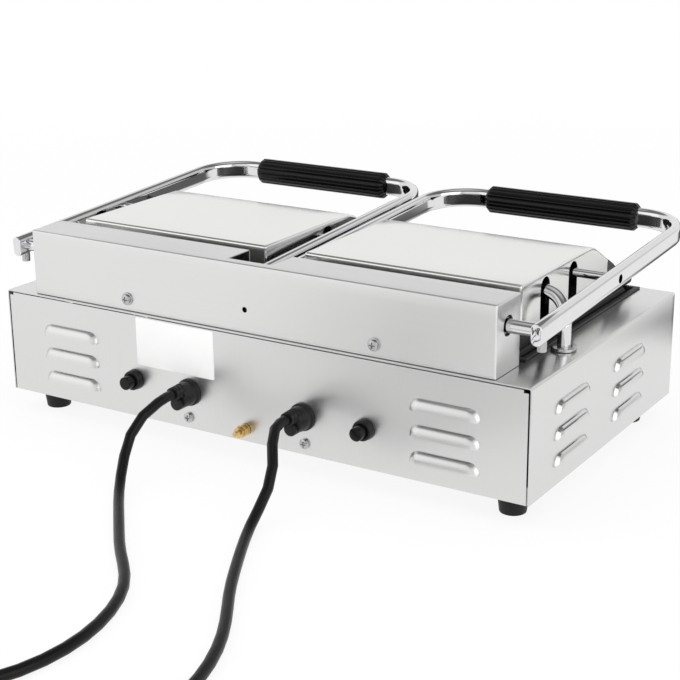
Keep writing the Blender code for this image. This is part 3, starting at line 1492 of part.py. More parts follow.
def free_cord(name):
    """The free stretch of a lead, which leaves its gland square and straight."""
    rough = path_length(CORD_POINTS[name])
    route = smooth_curve(CORD_POINTS[name], round(rough / CORD_SPACING) + 1)
    return np.insert(route, 1, route[0] + np.array([0, 2 * CORD_RADIUS, 0]), axis=0)


def coil_path(start, heading, loops):
    """Clockwise loops that spiral in on the floor, climb where the spiral reverses, and spiral out above."""
    heading = heading / np.linalg.norm(heading)
    inward = np.array([heading[1], -heading[0]])
    middle = loops / 2
    least = COIL_RADIUS - COIL_STEP * loops / 4
    lead = start + np.array([*heading, 0]) * 2 * CORD_RADIUS
    centre = lead[:2] + inward * (least + COIL_STEP * middle)
    first = np.arctan2(-inward[1], -inward[0])
    path = [tuple(start), tuple(lead)]
    steps = round(COIL_STEPS * loops)
    for i in range(1, steps + 1):
        turns = loops * i / steps
        radius = least + COIL_STEP * abs(turns - middle)
        share = min(1, max(0, 2 * (turns - middle) + 1 / 2))
        height = start[2] + COIL_LAYER * share * share * (3 - 2 * share)
        angle = first - 2 * pi * turns
        path.append((centre[0] + radius * cos(angle), centre[1] + radius * sin(angle), height))
    away = np.array([sin(angle), -cos(angle)])
    last = np.array(path[-1])
    for share, level in COIL_TAIL_SHARES:
        spot = last[:2] + away * COIL_TAIL * share
        path.append((spot[0], spot[1], last[2] + (PLUG_ENTRY - last[2]) * level))
    return path, away


COIL_TAIL = 0.060
PLUG_ENTRY = 0.0105
COIL_TAIL_SHARES = ((0.15, 0), (0.30, 0.02), (0.45, 0.25), (0.60, 0.72), (0.75, 0.97), (0.88, 1), (1, 1))


def least_gap(path):
    """Least clear distance between turns of a wound cord."""
    points = np.array(path)
    near = 2 * COIL_STEPS // 3
    least = 1.0
    for i in range(len(points) - near):
        apart = np.linalg.norm(points[i + near:] - points[i], axis=1).min()
        least = min(least, float(apart))
    return least - 2 * CORD_RADIUS


def make_cords():
    """Two mains leads: the free stretch, the loops put away beside it, and the plug."""
    for name, side in SIDES.items():
        route = free_cord(name)
        piece(f"cord_{name}", tube(route, CORD_RADIUS, 2), RUBBER, smooth=True)
        heading = route[-1] - route[-2]
        start = route[-1] + heading / np.linalg.norm(heading) * GAP
        coil, away = coil_path(start, heading[:2], COIL_LOOPS[name])
        whole = path_length(route) + path_length(coil)
        print(f"{name} coil: least gap {least_gap(coil) * 1000:.2f} mm, lead {whole:.3f} m long")
        piece(f"cord_coil_{name}", tube(coil, CORD_RADIUS, 1), RUBBER, smooth=True)
        make_plug(f"plug_{name}", np.array(coil[-1]), away)


def rounded_rectangle(width, length, corner, steps):
    half_w, half_l = width / 2 - corner, length / 2 - corner
    points = arc((half_w, half_l), corner, 0, pi / 2, steps)
    points += arc((-half_w, half_l), corner, pi / 2, pi, steps)
    points += arc((-half_w, -half_l), corner, pi, 3 * pi / 2, steps)
    points += arc((half_w, -half_l), corner, 3 * pi / 2, 2 * pi, steps)
    return points


def make_plug(name, entry, away):
    """Plug with three flat pins, laid on its back at the end of the lead."""
    body = plate([rounded_rectangle(PLUG_WIDTH, PLUG_LENGTH, PLUG_CORNER, 3)], "Z", 0, PLUG_HEIGHT)
    turn = np.arctan2(away[1], away[0]) - pi / 2
    middle = entry[:2] + away * (GAP + PLUG_NECK_LENGTH + PLUG_LENGTH / 2)
    place = Matrix.Translation((middle[0], middle[1], GAP)) @ Matrix.Rotation(turn, 4, "Z")
    body.transform(place)
    plug = piece(name, body, RUBBER, smooth=True)
    neck_z = PLUG_ENTRY - GAP
    neck_start = (0, -PLUG_LENGTH / 2 - PLUG_NECK_LENGTH, neck_z)
    neck = bar(neck_start, (0, -PLUG_LENGTH / 2 + PLUG_CORNER, neck_z), PLUG_NECK_RADIUS, 16)
    top = PLUG_HEIGHT - OVERRUN
    pins = [neck]
    for x in (-PIN_SPREAD, PIN_SPREAD):
        first = (x - PIN_WIDE / 2, -PIN_BACK / 2 - PIN_THIN / 2, top)
        pins.append(block(first, (x + PIN_WIDE / 2, -PIN_BACK / 2 + PIN_THIN / 2, PLUG_HEIGHT + PIN_LENGTH)))
    first = (-PIN_THIN / 2, PIN_BACK / 2 - EARTH_PIN_LONG / 2, top)
    last = (PIN_THIN / 2, PIN_BACK / 2 + EARTH_PIN_LONG / 2, PLUG_HEIGHT + PIN_LENGTH)
    pins.append(block(first, last))
    for mesh in pins:
        mesh.transform(place)
    add(plug, *pins)


def make_root():
    make_base_housing()
    make_rear_panel()
    make_bottom_plate()
    make_feet()
    make_rear_cover()
    make_earth_stud()
    make_tray(pivot_at("tray_slide", (0, FRONT_Y, FOOT_HEIGHT + TRAY_RISE)))
    make_cords()


def make_half(name, side):
    """What repeats on the left and the right."""
    hinge = pivot_at(f"hinge_{name}", (side * (INNER_ARM_X + OUTER_ARM_X) / 2, SHAFT_Y, SHAFT_Z))
    swivel = pivot_at(f"swivel_{name}", (side * (PLATE_IN_X + PLATE_OUT_X) / 2, ROD_Y, ROD_Z), hinge)
    knob_axis = pivot_at(f"knob_axis_{name}", (side * KNOB_X, FRONT_Y, FOOT_HEIGHT + KNOB_RISE))
    reset_axis = pivot_at(f"reset_axis_{name}", (side * RESET_X, REAR_Y, FOOT_HEIGHT + RESET_RISE))
    make_lower_plate(f"lower_plate_{name}", side)
    make_heater(f"lower_heater_{name}", side, False)
    make_hinge_bracket(f"hinge_bracket_{name}", side)
    make_spring(f"balance_spring_{name}", side)
    make_conduit(f"conduit_{name}", side)
    make_conduit_bush(f"conduit_bush_{name}", side)
    make_reset_switch(f"reset_switch_{name}", side)
    make_reset_button(f"reset_button_{name}", side, reset_axis)
    make_gland(f"cable_gland_{name}", side)
    make_screws(name, side)
    make_lamp(f"indicator_lamp_{name}", side)
    make_thermostat(f"thermostat_{name}", side)
    make_knob(f"knob_{name}", side, knob_axis)
    make_shaft(f"hinge_shaft_{name}", side, hinge)
    make_handle_frame(f"handle_frame_{name}", side, hinge)
    make_set_screw(f"set_screw_{name}", side, hinge)
    make_grip(f"grip_{name}", side, hinge)
    make_rod(f"suspension_rod_{name}", side, hinge)
    make_lid_cover(f"lid_cover_{name}", side, swivel)
    make_upper_plate(f"upper_plate_{name}", side, swivel)
    make_heater(f"upper_heater_{name}", side, True, swivel)


make_root()
for side_name, side_sign in SIDES.items():
    make_half(side_name, side_sign)
print("pieces:", sum(1 for item in PARTS.objects if item.type == "MESH"))
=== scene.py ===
"""Looks of a double contact grill, seen from behind. Metres, +Z up, front -Y, back +Y."""

import bmesh
import bpy
import numpy as np
from mathutils import Matrix, Vector


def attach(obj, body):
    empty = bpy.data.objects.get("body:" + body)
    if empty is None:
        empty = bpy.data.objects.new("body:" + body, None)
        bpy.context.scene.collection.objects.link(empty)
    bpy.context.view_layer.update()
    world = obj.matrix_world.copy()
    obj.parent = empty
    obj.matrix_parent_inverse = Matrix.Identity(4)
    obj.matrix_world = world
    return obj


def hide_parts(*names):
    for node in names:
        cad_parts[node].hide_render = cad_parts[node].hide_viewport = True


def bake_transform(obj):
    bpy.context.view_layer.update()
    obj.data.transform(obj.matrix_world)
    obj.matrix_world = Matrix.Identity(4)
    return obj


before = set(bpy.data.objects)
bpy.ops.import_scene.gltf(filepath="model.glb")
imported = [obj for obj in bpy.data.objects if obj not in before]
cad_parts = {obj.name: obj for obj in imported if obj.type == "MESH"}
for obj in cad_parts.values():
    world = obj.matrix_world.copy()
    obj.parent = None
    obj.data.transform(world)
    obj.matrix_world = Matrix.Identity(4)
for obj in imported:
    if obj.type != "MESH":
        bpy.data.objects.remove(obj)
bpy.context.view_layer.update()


# Camera and studio.
# The grill stands on a pale floor in a white room, and the camera looks at its back from above.
# Soft boxes overhead and at the sides light the dull parts, and the room itself lights the metal.

CAMERA_PLACE = (-0.78820, 1.25567, 0.55557)
CAMERA_RIGHT = (-0.84649, -0.53231, -0.01023)
CAMERA_UP = (0.15729, -0.26839, 0.95038)
CAMERA_BACK = (-0.50864, 0.80288, 0.31092)
CAMERA_LENS = 82.952
SENSOR = 36.0

camera_data = bpy.data.cameras.new("camera")
camera_data.lens = CAMERA_LENS
camera_data.sensor_width = SENSOR
camera_data.sensor_fit = "HORIZONTAL"
camera_data.clip_start = 0.05
camera = bpy.data.objects.new("camera", camera_data)
bpy.context.scene.collection.objects.link(camera)
turn = Matrix((CAMERA_RIGHT, CAMERA_UP, CAMERA_BACK)).transposed().to_4x4()
camera.matrix_world = Matrix.Translation(CAMERA_PLACE) @ turn
bpy.context.scene.camera = camera
bpy.context.scene.view_settings.view_transform = "Standard"


def wire(tree, kind, **settings):
    """Add one shader node. A keyword names its operation or data type, or else an input, by name or by
    number: a linked socket, or a plain value to set."""
    added = tree.nodes.new(kind)
    for key, value in settings.items():
        if key in ("operation", "data_type"):
            setattr(added, key, value)
            continue
        socket = added.inputs[int(key[1:]) if key[1:].isdigit() else key.replace("_", " ")]
        if isinstance(value, bpy.types.NodeSocket):
            tree.links.new(value, socket)
        else:
            socket.default_value = value
    return added


def seen_by(tree, *kinds):
    """One for rays of the given kinds, and nought for the rest."""
    path = wire(tree, "ShaderNodeLightPath")
    seen = path.outputs[kinds[0]]
    for kind in kinds[1:]:
        seen = wire(tree, "ShaderNodeMath", operation="MAXIMUM", _0=seen, _1=path.outputs[kind]).outputs[0]
    return seen


WHITE = (1, 1, 1, 1)
ROOM_LIGHT = 0.62
ROOM_BAND = ((0.0, 0.92), (0.10, 0.94), (0.38, 0.96), (0.56, 0.90), (0.64, 0.22), (0.86, 0.18), (1.0, 0.70))
ROOM_DIM = 0.72
ROOM_DIM_X = (-0.50, -0.36)


def light_room():
    """White for the eye. Mirrors see a bright band above the horizon and a dark ceiling, and the room is
    darker towards -X, where the photograph's chrome and sides are dark."""
    world = bpy.data.worlds.new("room")
    bpy.context.scene.world = world
    world.use_nodes = True
    tree = world.node_tree
    tree.nodes.clear()
    place = wire(tree, "ShaderNodeTexCoord")
    apart = wire(tree, "ShaderNodeSeparateXYZ", _0=place.outputs["Generated"])
    band = wire(tree, "ShaderNodeValToRGB", _0=apart.outputs["Z"])
    ramp = band.color_ramp
    while len(ramp.elements) < len(ROOM_BAND):
        ramp.elements.new(0.5)
    for element, (spot, level) in zip(ramp.elements, ROOM_BAND):
        element.position = spot
        element.color = (level, level, level, 1)
    low, high = ROOM_DIM_X
    dim = wire(tree, "ShaderNodeMapRange", Value=apart.outputs["X"], _1=low, _2=high, _3=ROOM_DIM, _4=1.0)
    mirror = wire(tree, "ShaderNodeBackground", Color=band.outputs["Color"], Strength=dim.outputs[0])
    white = wire(tree, "ShaderNodeBackground", Color=WHITE, Strength=1.0)
    soft = wire(tree, "ShaderNodeBackground", Color=WHITE, Strength=ROOM_LIGHT)
    glossy = seen_by(tree, "Is Glossy Ray")
    clear = seen_by(tree, "Is Camera Ray", "Is Transmission Ray")
    dull = wire(tree, "ShaderNodeMixShader", _0=glossy, _1=soft.outputs[0], _2=mirror.outputs[0])
    all_rays = wire(tree, "ShaderNodeMixShader", _0=clear, _1=dull.outputs[0], _2=white.outputs[0])
    wire(tree, "ShaderNodeOutputWorld", Surface=all_rays.outputs[0])


light_room()

FLOOR_SIZE = 24.0
FLOOR_WHITE = (0.90, 0.90, 0.90, 1)
FLOOR_GLOW = 0.88
FLOOR_ALL_GLOW = (0.6, 1.8)
FLOOR_DARK = 0.04
FLOOR_DARK_X = (-0.50, -0.38)
FLOOR_DARK_Y = (-0.34, -0.46)


def lay_floor():
    """A pale floor: it glows white for the eye and for mirrors, and near the grill its dull share keeps the
    shadow. Mirrors see it dark well in front of the grill, as if the white sheet ended there."""
    half = FLOOR_SIZE / 2
    mesh = bpy.data.meshes.new("floor")
    corners = [(-half, -half, 0), (half, -half, 0), (half, half, 0), (-half, half, 0)]
    mesh.from_pydata(corners, [], [(0, 1, 2, 3)])
    ground = bpy.data.objects.new("floor", mesh)
    bpy.context.scene.collection.objects.link(ground)
    material = bpy.data.materials.new("floor_white")
    material.use_nodes = True
    tree = material.node_tree
    tree.nodes.clear()
    place = wire(tree, "ShaderNodeTexCoord").outputs["Object"]
    apart = wire(tree, "ShaderNodeSeparateXYZ", _0=place)
    dark = seen_by(tree, "Is Glossy Ray")
    for axis, (start, full) in (("X", FLOOR_DARK_X), ("Y", FLOOR_DARK_Y)):
        part = wire(tree, "ShaderNodeMapRange", Value=apart.outputs[axis], _1=start, _2=full).outputs[0]
        dark = wire(tree, "ShaderNodeMath", operation="MULTIPLY", _0=dark, _1=part).outputs[0]
    power = wire(tree, "ShaderNodeMapRange", Value=dark, _3=1.0, _4=FLOOR_DARK)
    glow = wire(tree, "ShaderNodeEmission", Color=WHITE, Strength=power.outputs[0])
    away = wire(tree, "ShaderNodeVectorMath", operation="LENGTH", _0=place).outputs["Value"]
    near, far = FLOOR_ALL_GLOW
    level = wire(tree, "ShaderNodeMapRange", Value=away, _1=near, _2=far, _3=FLOOR_GLOW, _4=1.0).outputs[0]
    eye = seen_by(tree, "Is Camera Ray", "Is Glossy Ray", "Is Transmission Ray")
    share = wire(tree, "ShaderNodeMath", operation="MULTIPLY", _0=eye, _1=level).outputs[0]
    paint = wire(tree, "ShaderNodeBsdfDiffuse", Color=FLOOR_WHITE)
    mix = wire(tree, "ShaderNodeMixShader", _0=share, _1=paint.outputs[0], _2=glow.outputs[0])
    wire(tree, "ShaderNodeOutputMaterial", Surface=mix.outputs[0])
    mesh.materials.append(material)


lay_floor()

LAMP_AIM = Vector((0, 0, 0.1))


def soft_box(name, place, size, watts, mirrored=True):
    """A square lamp that looks at the grill. One that isn't mirrored lights the dull parts alone."""
    data = bpy.data.lights.new(name, "AREA")
    data.shape = "RECTANGLE"
    data.size, data.size_y = size
    data.energy = watts
    lamp = bpy.data.objects.new(name, data)
    bpy.context.scene.collection.objects.link(lamp)
    lamp.location = place
    lamp.rotation_euler = (LAMP_AIM - Vector(place)).to_track_quat("-Z", "Y").to_euler()
    lamp.visible_glossy = mirrored


soft_box("overhead", (0.0, 0.2, 1.9), (3.0, 2.4), 22, mirrored=False)
soft_box("behind_left", (1.7, 1.6, 1.1), (2.5, 2.3), 15, mirrored=False)
soft_box("behind_left_in_mirrors", (1.6, 1.5, 1.04), (2.35, 2.16), 4)
soft_box("behind_right", (-2.0, 0.8, 0.9), (2.3, 2.2), 15)


# Mains leads.
# Two round rubber leads leave the glands, drop to the table and run off behind the grill.
# What the photograph doesn't show lies in a flat coil past the edge of the picture, with the plug beside it.

CORD_RADIUS = 0.00475
CORD_POINTS = {
    "right": [
        (0.0630, 0.2003, 0.0640), (0.0630, 0.2120, 0.0635), (0.0646, 0.2288, 0.0599),
        (0.0690, 0.2463, 0.0480), (0.0698, 0.2604, 0.0298), (0.0577, 0.2849, 0.0093),
        (0.0351, 0.3142, 0.0048), (0.0012, 0.3544, 0.0048), (-0.0251, 0.3842, 0.0048),
        (-0.0583, 0.4191, 0.0048), (-0.0800, 0.4560, 0.0048), (-0.0920, 0.5000, 0.0048),
        (-0.0910, 0.5480, 0.0048), (-0.0730, 0.5940, 0.0048), (-0.0330, 0.6290, 0.0048),
        (0.0220, 0.6400, 0.0048),
    ],
    "left": [
        (-0.0630, 0.2003, 0.0640), (-0.0630, 0.2120, 0.0635), (-0.0678, 0.2280, 0.0599),
        (-0.0788, 0.2446, 0.0488), (-0.0847, 0.2579, 0.0312), (-0.0873, 0.2859, 0.0097),
        (-0.1015, 0.3213, 0.0048), (-0.1235, 0.3633, 0.0048), (-0.1453, 0.4015, 0.0048),
        (-0.1736, 0.4468, 0.0048), (-0.1970, 0.5020, 0.0048), (-0.2070, 0.5640, 0.0048),
        (-0.2030, 0.6280, 0.0048), (-0.1830, 0.6880, 0.0048),
    ],
}
CORD_SPACING = 0.020
COIL_LOOPS = {"left": 4.238, "right": 4.162}
COIL_RADIUS = 0.050
COIL_STEP = 0.0101
COIL_LAYER = 0.0101
COIL_STEPS = 30
COIL_START = 0.0003
COIL_TAIL = 0.060
TAIL_RISE = ((0.15, 0), (0.30, 0.02), (0.45, 0.25), (0.60, 0.72), (0.75, 0.97), (0.88, 1), (1, 1))
PLUG_ENTRY = 0.0105
SIDES = {"left": -1, "right": 1}


def surface(name, patches, finish, closed=True, crease=32):
    """Weld patches of points into one skin. A patch of shape (rows, columns, 3) has a face at each (i, j),
    through points (i, j), (i, j+1), (i+1, j+1), (i+1, j), but for the faces its mask leaves out; one of
    shape (n, 3) is one flat face. A closed skin is turned outward."""
    points, faces, first = [], [], 0
    for patch in patches:
        grid, mask = patch if isinstance(patch, tuple) else (patch, None)
        count = int(np.prod(grid.shape[:-1]))
        index = first + np.arange(count)
        if grid.ndim == 2:
            faces.append(index.tolist())
        else:
            index = index.reshape(grid.shape[:2])
            quads = np.stack([index[:-1, :-1], index[:-1, 1:], index[1:, 1:], index[1:, :-1]], axis=-1)
            kept = quads.reshape(-1, 4) if mask is None else quads[~mask]
            faces += kept.tolist()
        points.append(grid.reshape(-1, 3))
        first += count
    mesh = bpy.data.meshes.new(name)
    mesh.from_pydata(np.concatenate(points).tolist(), [], faces)
    shape = bmesh.new()
    shape.from_mesh(mesh)
    bmesh.ops.remove_doubles(shape, verts=shape.verts, dist=0.000002)
    loose = [corner for corner in shape.verts if not corner.link_faces]
    bmesh.ops.delete(shape, geom=loose, context="VERTS")
    if closed:
        bmesh.ops.recalc_face_normals(shape, faces=shape.faces)
    shape.to_mesh(mesh)
    shape.free()
    mesh.shade_smooth()
    mesh.set_sharp_from_angle(angle=np.radians(crease))
    mesh.materials.append(finish)
    made = bpy.data.objects.new(name, mesh)
    bpy.context.scene.collection.objects.link(made)
    return made


def fit(made, body, slot, *nodes):
    """Put a finished piece on its body, in place of its plain solids."""
    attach(made, body)
    if nodes:
        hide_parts(*nodes)
    return made


def capped(grid):
    """A skin whose rows are closed rings, with a flat face at either end."""
    return [grid, grid[0, :-1], grid[-1, :-1]]


def circle(radius, sides):
    """Points round a circle, the first repeated last: radius times (cos a, sin a)."""
    angle = np.linspace(0, 2 * np.pi, sides + 1)
    return radius * np.stack([np.cos(angle), np.sin(angle)], axis=-1)


def carried(path, section, upward=(0, 0, 1)):
    """A section carried along a path: point = path + a * side + b * up, where side is the run crossed with
    the upward guide, up is side crossed with the run, and (a, b) are the section's points, the same for all
    or one row for each point of the path."""
    path = np.asarray(path, float)
    run = np.gradient(path, axis=0)
    run /= np.linalg.norm(run, axis=1, keepdims=True)
    side = np.cross(run, np.asarray(upward, float))
    side /= np.linalg.norm(side, axis=1, keepdims=True)
    up = np.cross(side, run)
    section = np.broadcast_to(section, (len(path), *np.shape(section)[-2:]))
    return path[:, None] + section[..., :1] * side[:, None] + section[..., 1:] * up[:, None]


def tube(name, path, radius, finish, sides=16, upward=(0, 0, 1)):
    """A round bar along a path, with flat ends."""
    return surface(name, capped(carried(path, circle(radius, sides), upward)), finish)


def eased_route(points, spacing):
    """The same cubic curve through the same points as the solid's: at each joint the first and second slopes
    agree, the curve leaves square to the panel, and it is read at even steps of its length."""
    points = np.array(points, float)
    knots = np.concatenate([[0], np.cumsum(np.linalg.norm(np.diff(points, axis=0), axis=1) ** 0.5)])
    gaps = np.diff(knots)
    slopes = np.diff(points, axis=0) / gaps[:, None]
    size = len(points)
    system = np.diag(np.concatenate([[2 * gaps[0]], 2 * (gaps[:-1] + gaps[1:]), [1]]))
    inner = np.arange(1, size - 1)
    system[inner, inner - 1] = gaps[:-1]
    system[inner, inner + 1] = gaps[1:]
    system[0, 1] = gaps[0]
    right = np.zeros((size, 3))
    right[1:-1] = 6 * np.diff(slopes, axis=0)
    right[0] = 6 * (slopes[0] - np.array([0, 1, 0]) * np.linalg.norm(slopes[0]))
    bend = np.linalg.solve(system, right)
    share = np.linspace(0, 1, 24, endpoint=False)[None, :, None]
    h = gaps[:, None, None]
    a, b = (1 - share) * h, share * h
    fine = (bend[:-1, None] * a**3 + bend[1:, None] * b**3) / (6 * h)
    fine = fine + (points[:-1, None] / h - bend[:-1, None] * h / 6) * a
    fine = fine + (points[1:, None] / h - bend[1:, None] * h / 6) * b
    fine = np.concatenate([fine.reshape(-1, 3), points[-1:]])
    travel = np.concatenate([[0], np.cumsum(np.linalg.norm(np.diff(fine, axis=0), axis=1))])
    rough = np.linalg.norm(np.diff(points, axis=0), axis=1).sum()
    wanted = np.linspace(0, travel[-1], int(round(rough / spacing)) + 1)
    return np.column_stack([np.interp(wanted, travel, fine[:, k]) for k in range(3)])


def wound(start, heading, loops):
    """Clockwise turns on the table: the distance from the middle is least + step * |turns - half|, and the
    height climbs by one layer over the half turn where the spiral reverses, as share^2 * (3 - 2 share)."""
    heading = heading / np.linalg.norm(heading)
    inward = np.array([heading[1], -heading[0]])
    middle = loops / 2
    least = COIL_RADIUS - COIL_STEP * loops / 4
    lead = start + np.array([*heading, 0]) * 2 * CORD_RADIUS
    centre = lead[:2] + inward * (least + COIL_STEP * middle)
    steps = int(round(COIL_STEPS * loops))
    turns = loops * np.arange(1, steps + 1) / steps
    radius = least + COIL_STEP * np.abs(turns - middle)
    share = np.clip(2 * (turns - middle) + 0.5, 0, 1)
    height = start[2] + COIL_LAYER * share**2 * (3 - 2 * share)
    angle = np.arctan2(-inward[1], -inward[0]) - 2 * np.pi * turns
    x, y = centre[0] + radius * np.cos(angle), centre[1] + radius * np.sin(angle)
    turned = np.stack([x, y, height], axis=1)
    away = np.array([np.sin(angle[-1]), -np.cos(angle[-1])])
    share, level = np.array(TAIL_RISE).T[..., None]
    last = turned[-1]
    height = last[2] + (PLUG_ENTRY - last[2]) * level
    tail = np.concatenate([last[:2] + away * COIL_TAIL * share, height], axis=1)
    return np.concatenate([[start, lead], turned, tail]), away


def start_material(name):
    """A new material, its node tree and the piece's own coordinates."""
    material = bpy.data.materials.new(name)
    material.use_nodes = True
    tree = material.node_tree
    return material, tree, wire(tree, "ShaderNodeTexCoord").outputs["Object"]


def noise(tree, place, scale, detail, roughness=0.5):
    """Grey noise with about one grain in 1 / scale metres."""
    made = wire(tree, "ShaderNodeTexNoise", Vector=place, Scale=scale, Detail=detail, Roughness=roughness)
    return made.outputs["Fac"]


def coat(material, tint, dark, light, gloss, low, high, relief, strength, depth, span=(0, 1)):
    """Finish a material from three grey maps: the colour goes from dark to light with tint, the roughness
    from low to high as gloss crosses its span, and relief raises the surface by the depth."""
    tree = material.node_tree
    mix = wire(tree, "ShaderNodeMix", data_type="RGBA", Factor=tint, _6=(*dark, 1), _7=(*light, 1))
    rough = wire(tree, "ShaderNodeMapRange", Value=gloss, _1=span[0], _2=span[1], _3=low, _4=high)
    bump = wire(tree, "ShaderNodeBump", Strength=strength, Distance=depth, Height=relief)
    shader = tree.nodes["Principled BSDF"]
    tree.links.new(mix.outputs[2], shader.inputs["Base Color"])
    tree.links.new(rough.outputs[0], shader.inputs["Roughness"])
    tree.links.new(bump.outputs[0], shader.inputs["Normal"])
    return shader


def shade(colour, factor):
    """A darker or lighter tone of a colour."""
    return [channel * factor for channel in colour]


def rubber(name, colour, roughness, grain, depth):
    """Black rubber: a fine pebble in the surface and slightly uneven gloss."""
    material, tree, place = start_material(name)
    fine = noise(tree, place, grain, 3.0)
    broad = noise(tree, place, grain / 20, 2.0)
    dark, light = shade(colour, 0.75), shade(colour, 1.3)
    shader = coat(material, broad, dark, light, broad, roughness - 0.05, roughness + 0.06, fine, 0.35, depth)
    shader.inputs["Specular IOR Level"].default_value = 0.22
    return material


cord_black = rubber("cord_rubber", (0.004, 0.004, 0.004), 0.33, 900, 0.0002)
plug_black = rubber("plug_rubber", (0.006, 0.006, 0.006), 0.42, 1400, 0.0003)


def rounded_plan(width, length, corner, steps):
    """Outline of a rectangle with round corners, counter-clockwise."""
    angle = np.linspace(0, np.pi / 2, steps + 1)
    quarter = np.stack([np.cos(angle), np.sin(angle)], axis=-1) * corner
    spots = np.array([(1, 1), (-1, 1), (-1, -1), (1, -1)]) * (width / 2 - corner, length / 2 - corner)
    turns = np.array([[[1, 0], [0, 1]], [[0, -1], [1, 0]], [[-1, 0], [0, -1]], [[0, 1], [-1, 0]]])
    return (spots[:, None] + np.einsum("kab,nb->kna", turns, quarter)).reshape(-1, 2)


def pillow(outline, low, high, edge, steps=4):
    """A flat form with eased upper and lower edges: the outline shrinks towards its middle by edge *
    (1 - cos a) while the height gains edge * (1 - sin a) on the way round each edge."""
    angle = np.linspace(0, np.pi / 2, steps + 1)
    inset = edge * (1 - np.cos(angle))
    rise = edge * np.sin(angle)
    heights = np.concatenate([(low + edge - rise)[::-1], high - edge + rise])
    insets = np.concatenate([inset[::-1], inset])
    reach = np.abs(outline).max(axis=0)
    scale = 1 - insets[:, None] / reach
    flat = outline[None] * scale[:, None]
    ring = np.concatenate([flat, flat[:, :1]], axis=1)
    heights = np.broadcast_to(heights[:, None, None], (*ring.shape[:2], 1))
    return capped(np.concatenate([ring, heights], axis=-1))


def placed(patches, centre, turn):
    """Turn patches about Z and set them at a place."""
    c, s = np.cos(turn), np.sin(turn)
    spin = np.array([[c, s, 0], [-s, c, 0], [0, 0, 1]])
    return [patch @ spin + np.asarray(centre, float) for patch in patches]


PLUG_WIDTH = 0.046
PLUG_LENGTH = 0.048
PLUG_HEIGHT = 0.020
PLUG_CORNER = 0.008
PLUG_NECK = 0.012
PLUG_EDGE = 0.0025
PLUG_LIFT = 0.0003
NECK_RADIUS = 0.0066
NECK_RIB = 0.0009
NECK_PITCH = 0.0032
PIN_LENGTH = 0.018
PIN_SPREAD = 0.011
LINE_PIN = (0.0063, 0.004)
EARTH_PIN = (0.004, 0.008)


def steel(name, colour, roughness, grain, depth=0.00004):
    """Satin stainless steel: hairline grain from noise drawn out along one direction, and slow changes of
    tone. grain is the stretch of the noise in x, y and z, small along the hairlines."""
    material, tree, place = start_material(name)
    drawn = wire(tree, "ShaderNodeMapping", Vector=place, Scale=grain).outputs[0]
    hair = noise(tree, drawn, 1.0, 4.0, 0.6)
    slow = noise(tree, place, 7.0, 2.0)
    both = wire(tree, "ShaderNodeMath", operation="MULTIPLY", _0=hair, _1=slow).outputs[0]
    low, high = roughness - 0.015, roughness + 0.03
    light = shade(colour, 0.95)
    shader = coat(material, both, colour, light, both, low, high, hair, 0.10, depth, (0.1, 0.45))
    shader.inputs["Metallic"].default_value = 1.0
    return material


pin_brass = steel("pin_brass", (0.76, 0.57, 0.26), 0.22, (250, 250, 20), 0.00002)


def make_plug(name, entry, away):
    """Moulded plug on its back: an eased body with a ribbed neck for the lead, and three flat brass pins."""
    turn = np.arctan2(away[1], away[0]) - np.pi / 2
    middle = entry[:2] + away * (PLUG_LIFT + PLUG_NECK + PLUG_LENGTH / 2)
    centre = (middle[0], middle[1], PLUG_LIFT)
    body = pillow(rounded_plan(PLUG_WIDTH, PLUG_LENGTH, PLUG_CORNER, 6), 0, PLUG_HEIGHT, PLUG_EDGE)
    run = np.linspace(-PLUG_LENGTH / 2 - PLUG_NECK, -PLUG_LENGTH / 2 + 0.004, 40)
    wave = NECK_RADIUS + NECK_RIB * np.cos((run - run[0]) / NECK_PITCH * 2 * np.pi)
    line = np.column_stack([np.zeros(40), run, np.full(40, PLUG_ENTRY - PLUG_LIFT)])
    neck = carried(line, circle(1.0, 20)[None] * wave[:, None, None])
    plug = surface(f"mains_{name}", placed(body + capped(neck), centre, turn), plug_black)
    pins = []
    for x, y, (wide, deep) in (
        (-PIN_SPREAD, -PIN_SPREAD, LINE_PIN),
        (PIN_SPREAD, -PIN_SPREAD, LINE_PIN),
        (0, PIN_SPREAD, EARTH_PIN),
    ):
        plan = rounded_plan(wide, deep, 0.0006, 2)
        form = pillow(plan, PLUG_HEIGHT - 0.001, PLUG_HEIGHT + PIN_LENGTH, 0.0009, 2)
        pins += placed([patch + np.array([x, y, 0]) for patch in form], centre, turn)
    blades = surface(f"pins_of_{name}", pins, pin_brass)
    fit(plug, "base", "plug_plastic", name)
    fit(blades, "base", "brass")
    return plug, blades


for name, side in SIDES.items():
    route = eased_route(CORD_POINTS[name], CORD_SPACING)
    route = np.insert(route, 1, route[0] + np.array([0, 2 * CORD_RADIUS, 0]), axis=0)
    heading = route[-1] - route[-2]
    start = route[-1] + heading / np.linalg.norm(heading) * COIL_START
    coil, away = wound(start, heading[:2], COIL_LOOPS[name])
    whole = np.concatenate([route, coil[1:]])
    lead = tube(f"mains_lead_{name}", whole, CORD_RADIUS, cord_black, 16)
    fit(lead, "base", "cord_rubber", f"cord_{name}", f"cord_coil_{name}")
    plug, blades = make_plug(f"plug_{name}", coil[-1], away)


# Base housing.
# One stainless sheet 1.2 mm thick, folded into a top, two sides and a front, with small rounded bends.
# Air louvres are pressed out of the sides, and the two cooking plates drop into openings in the top.

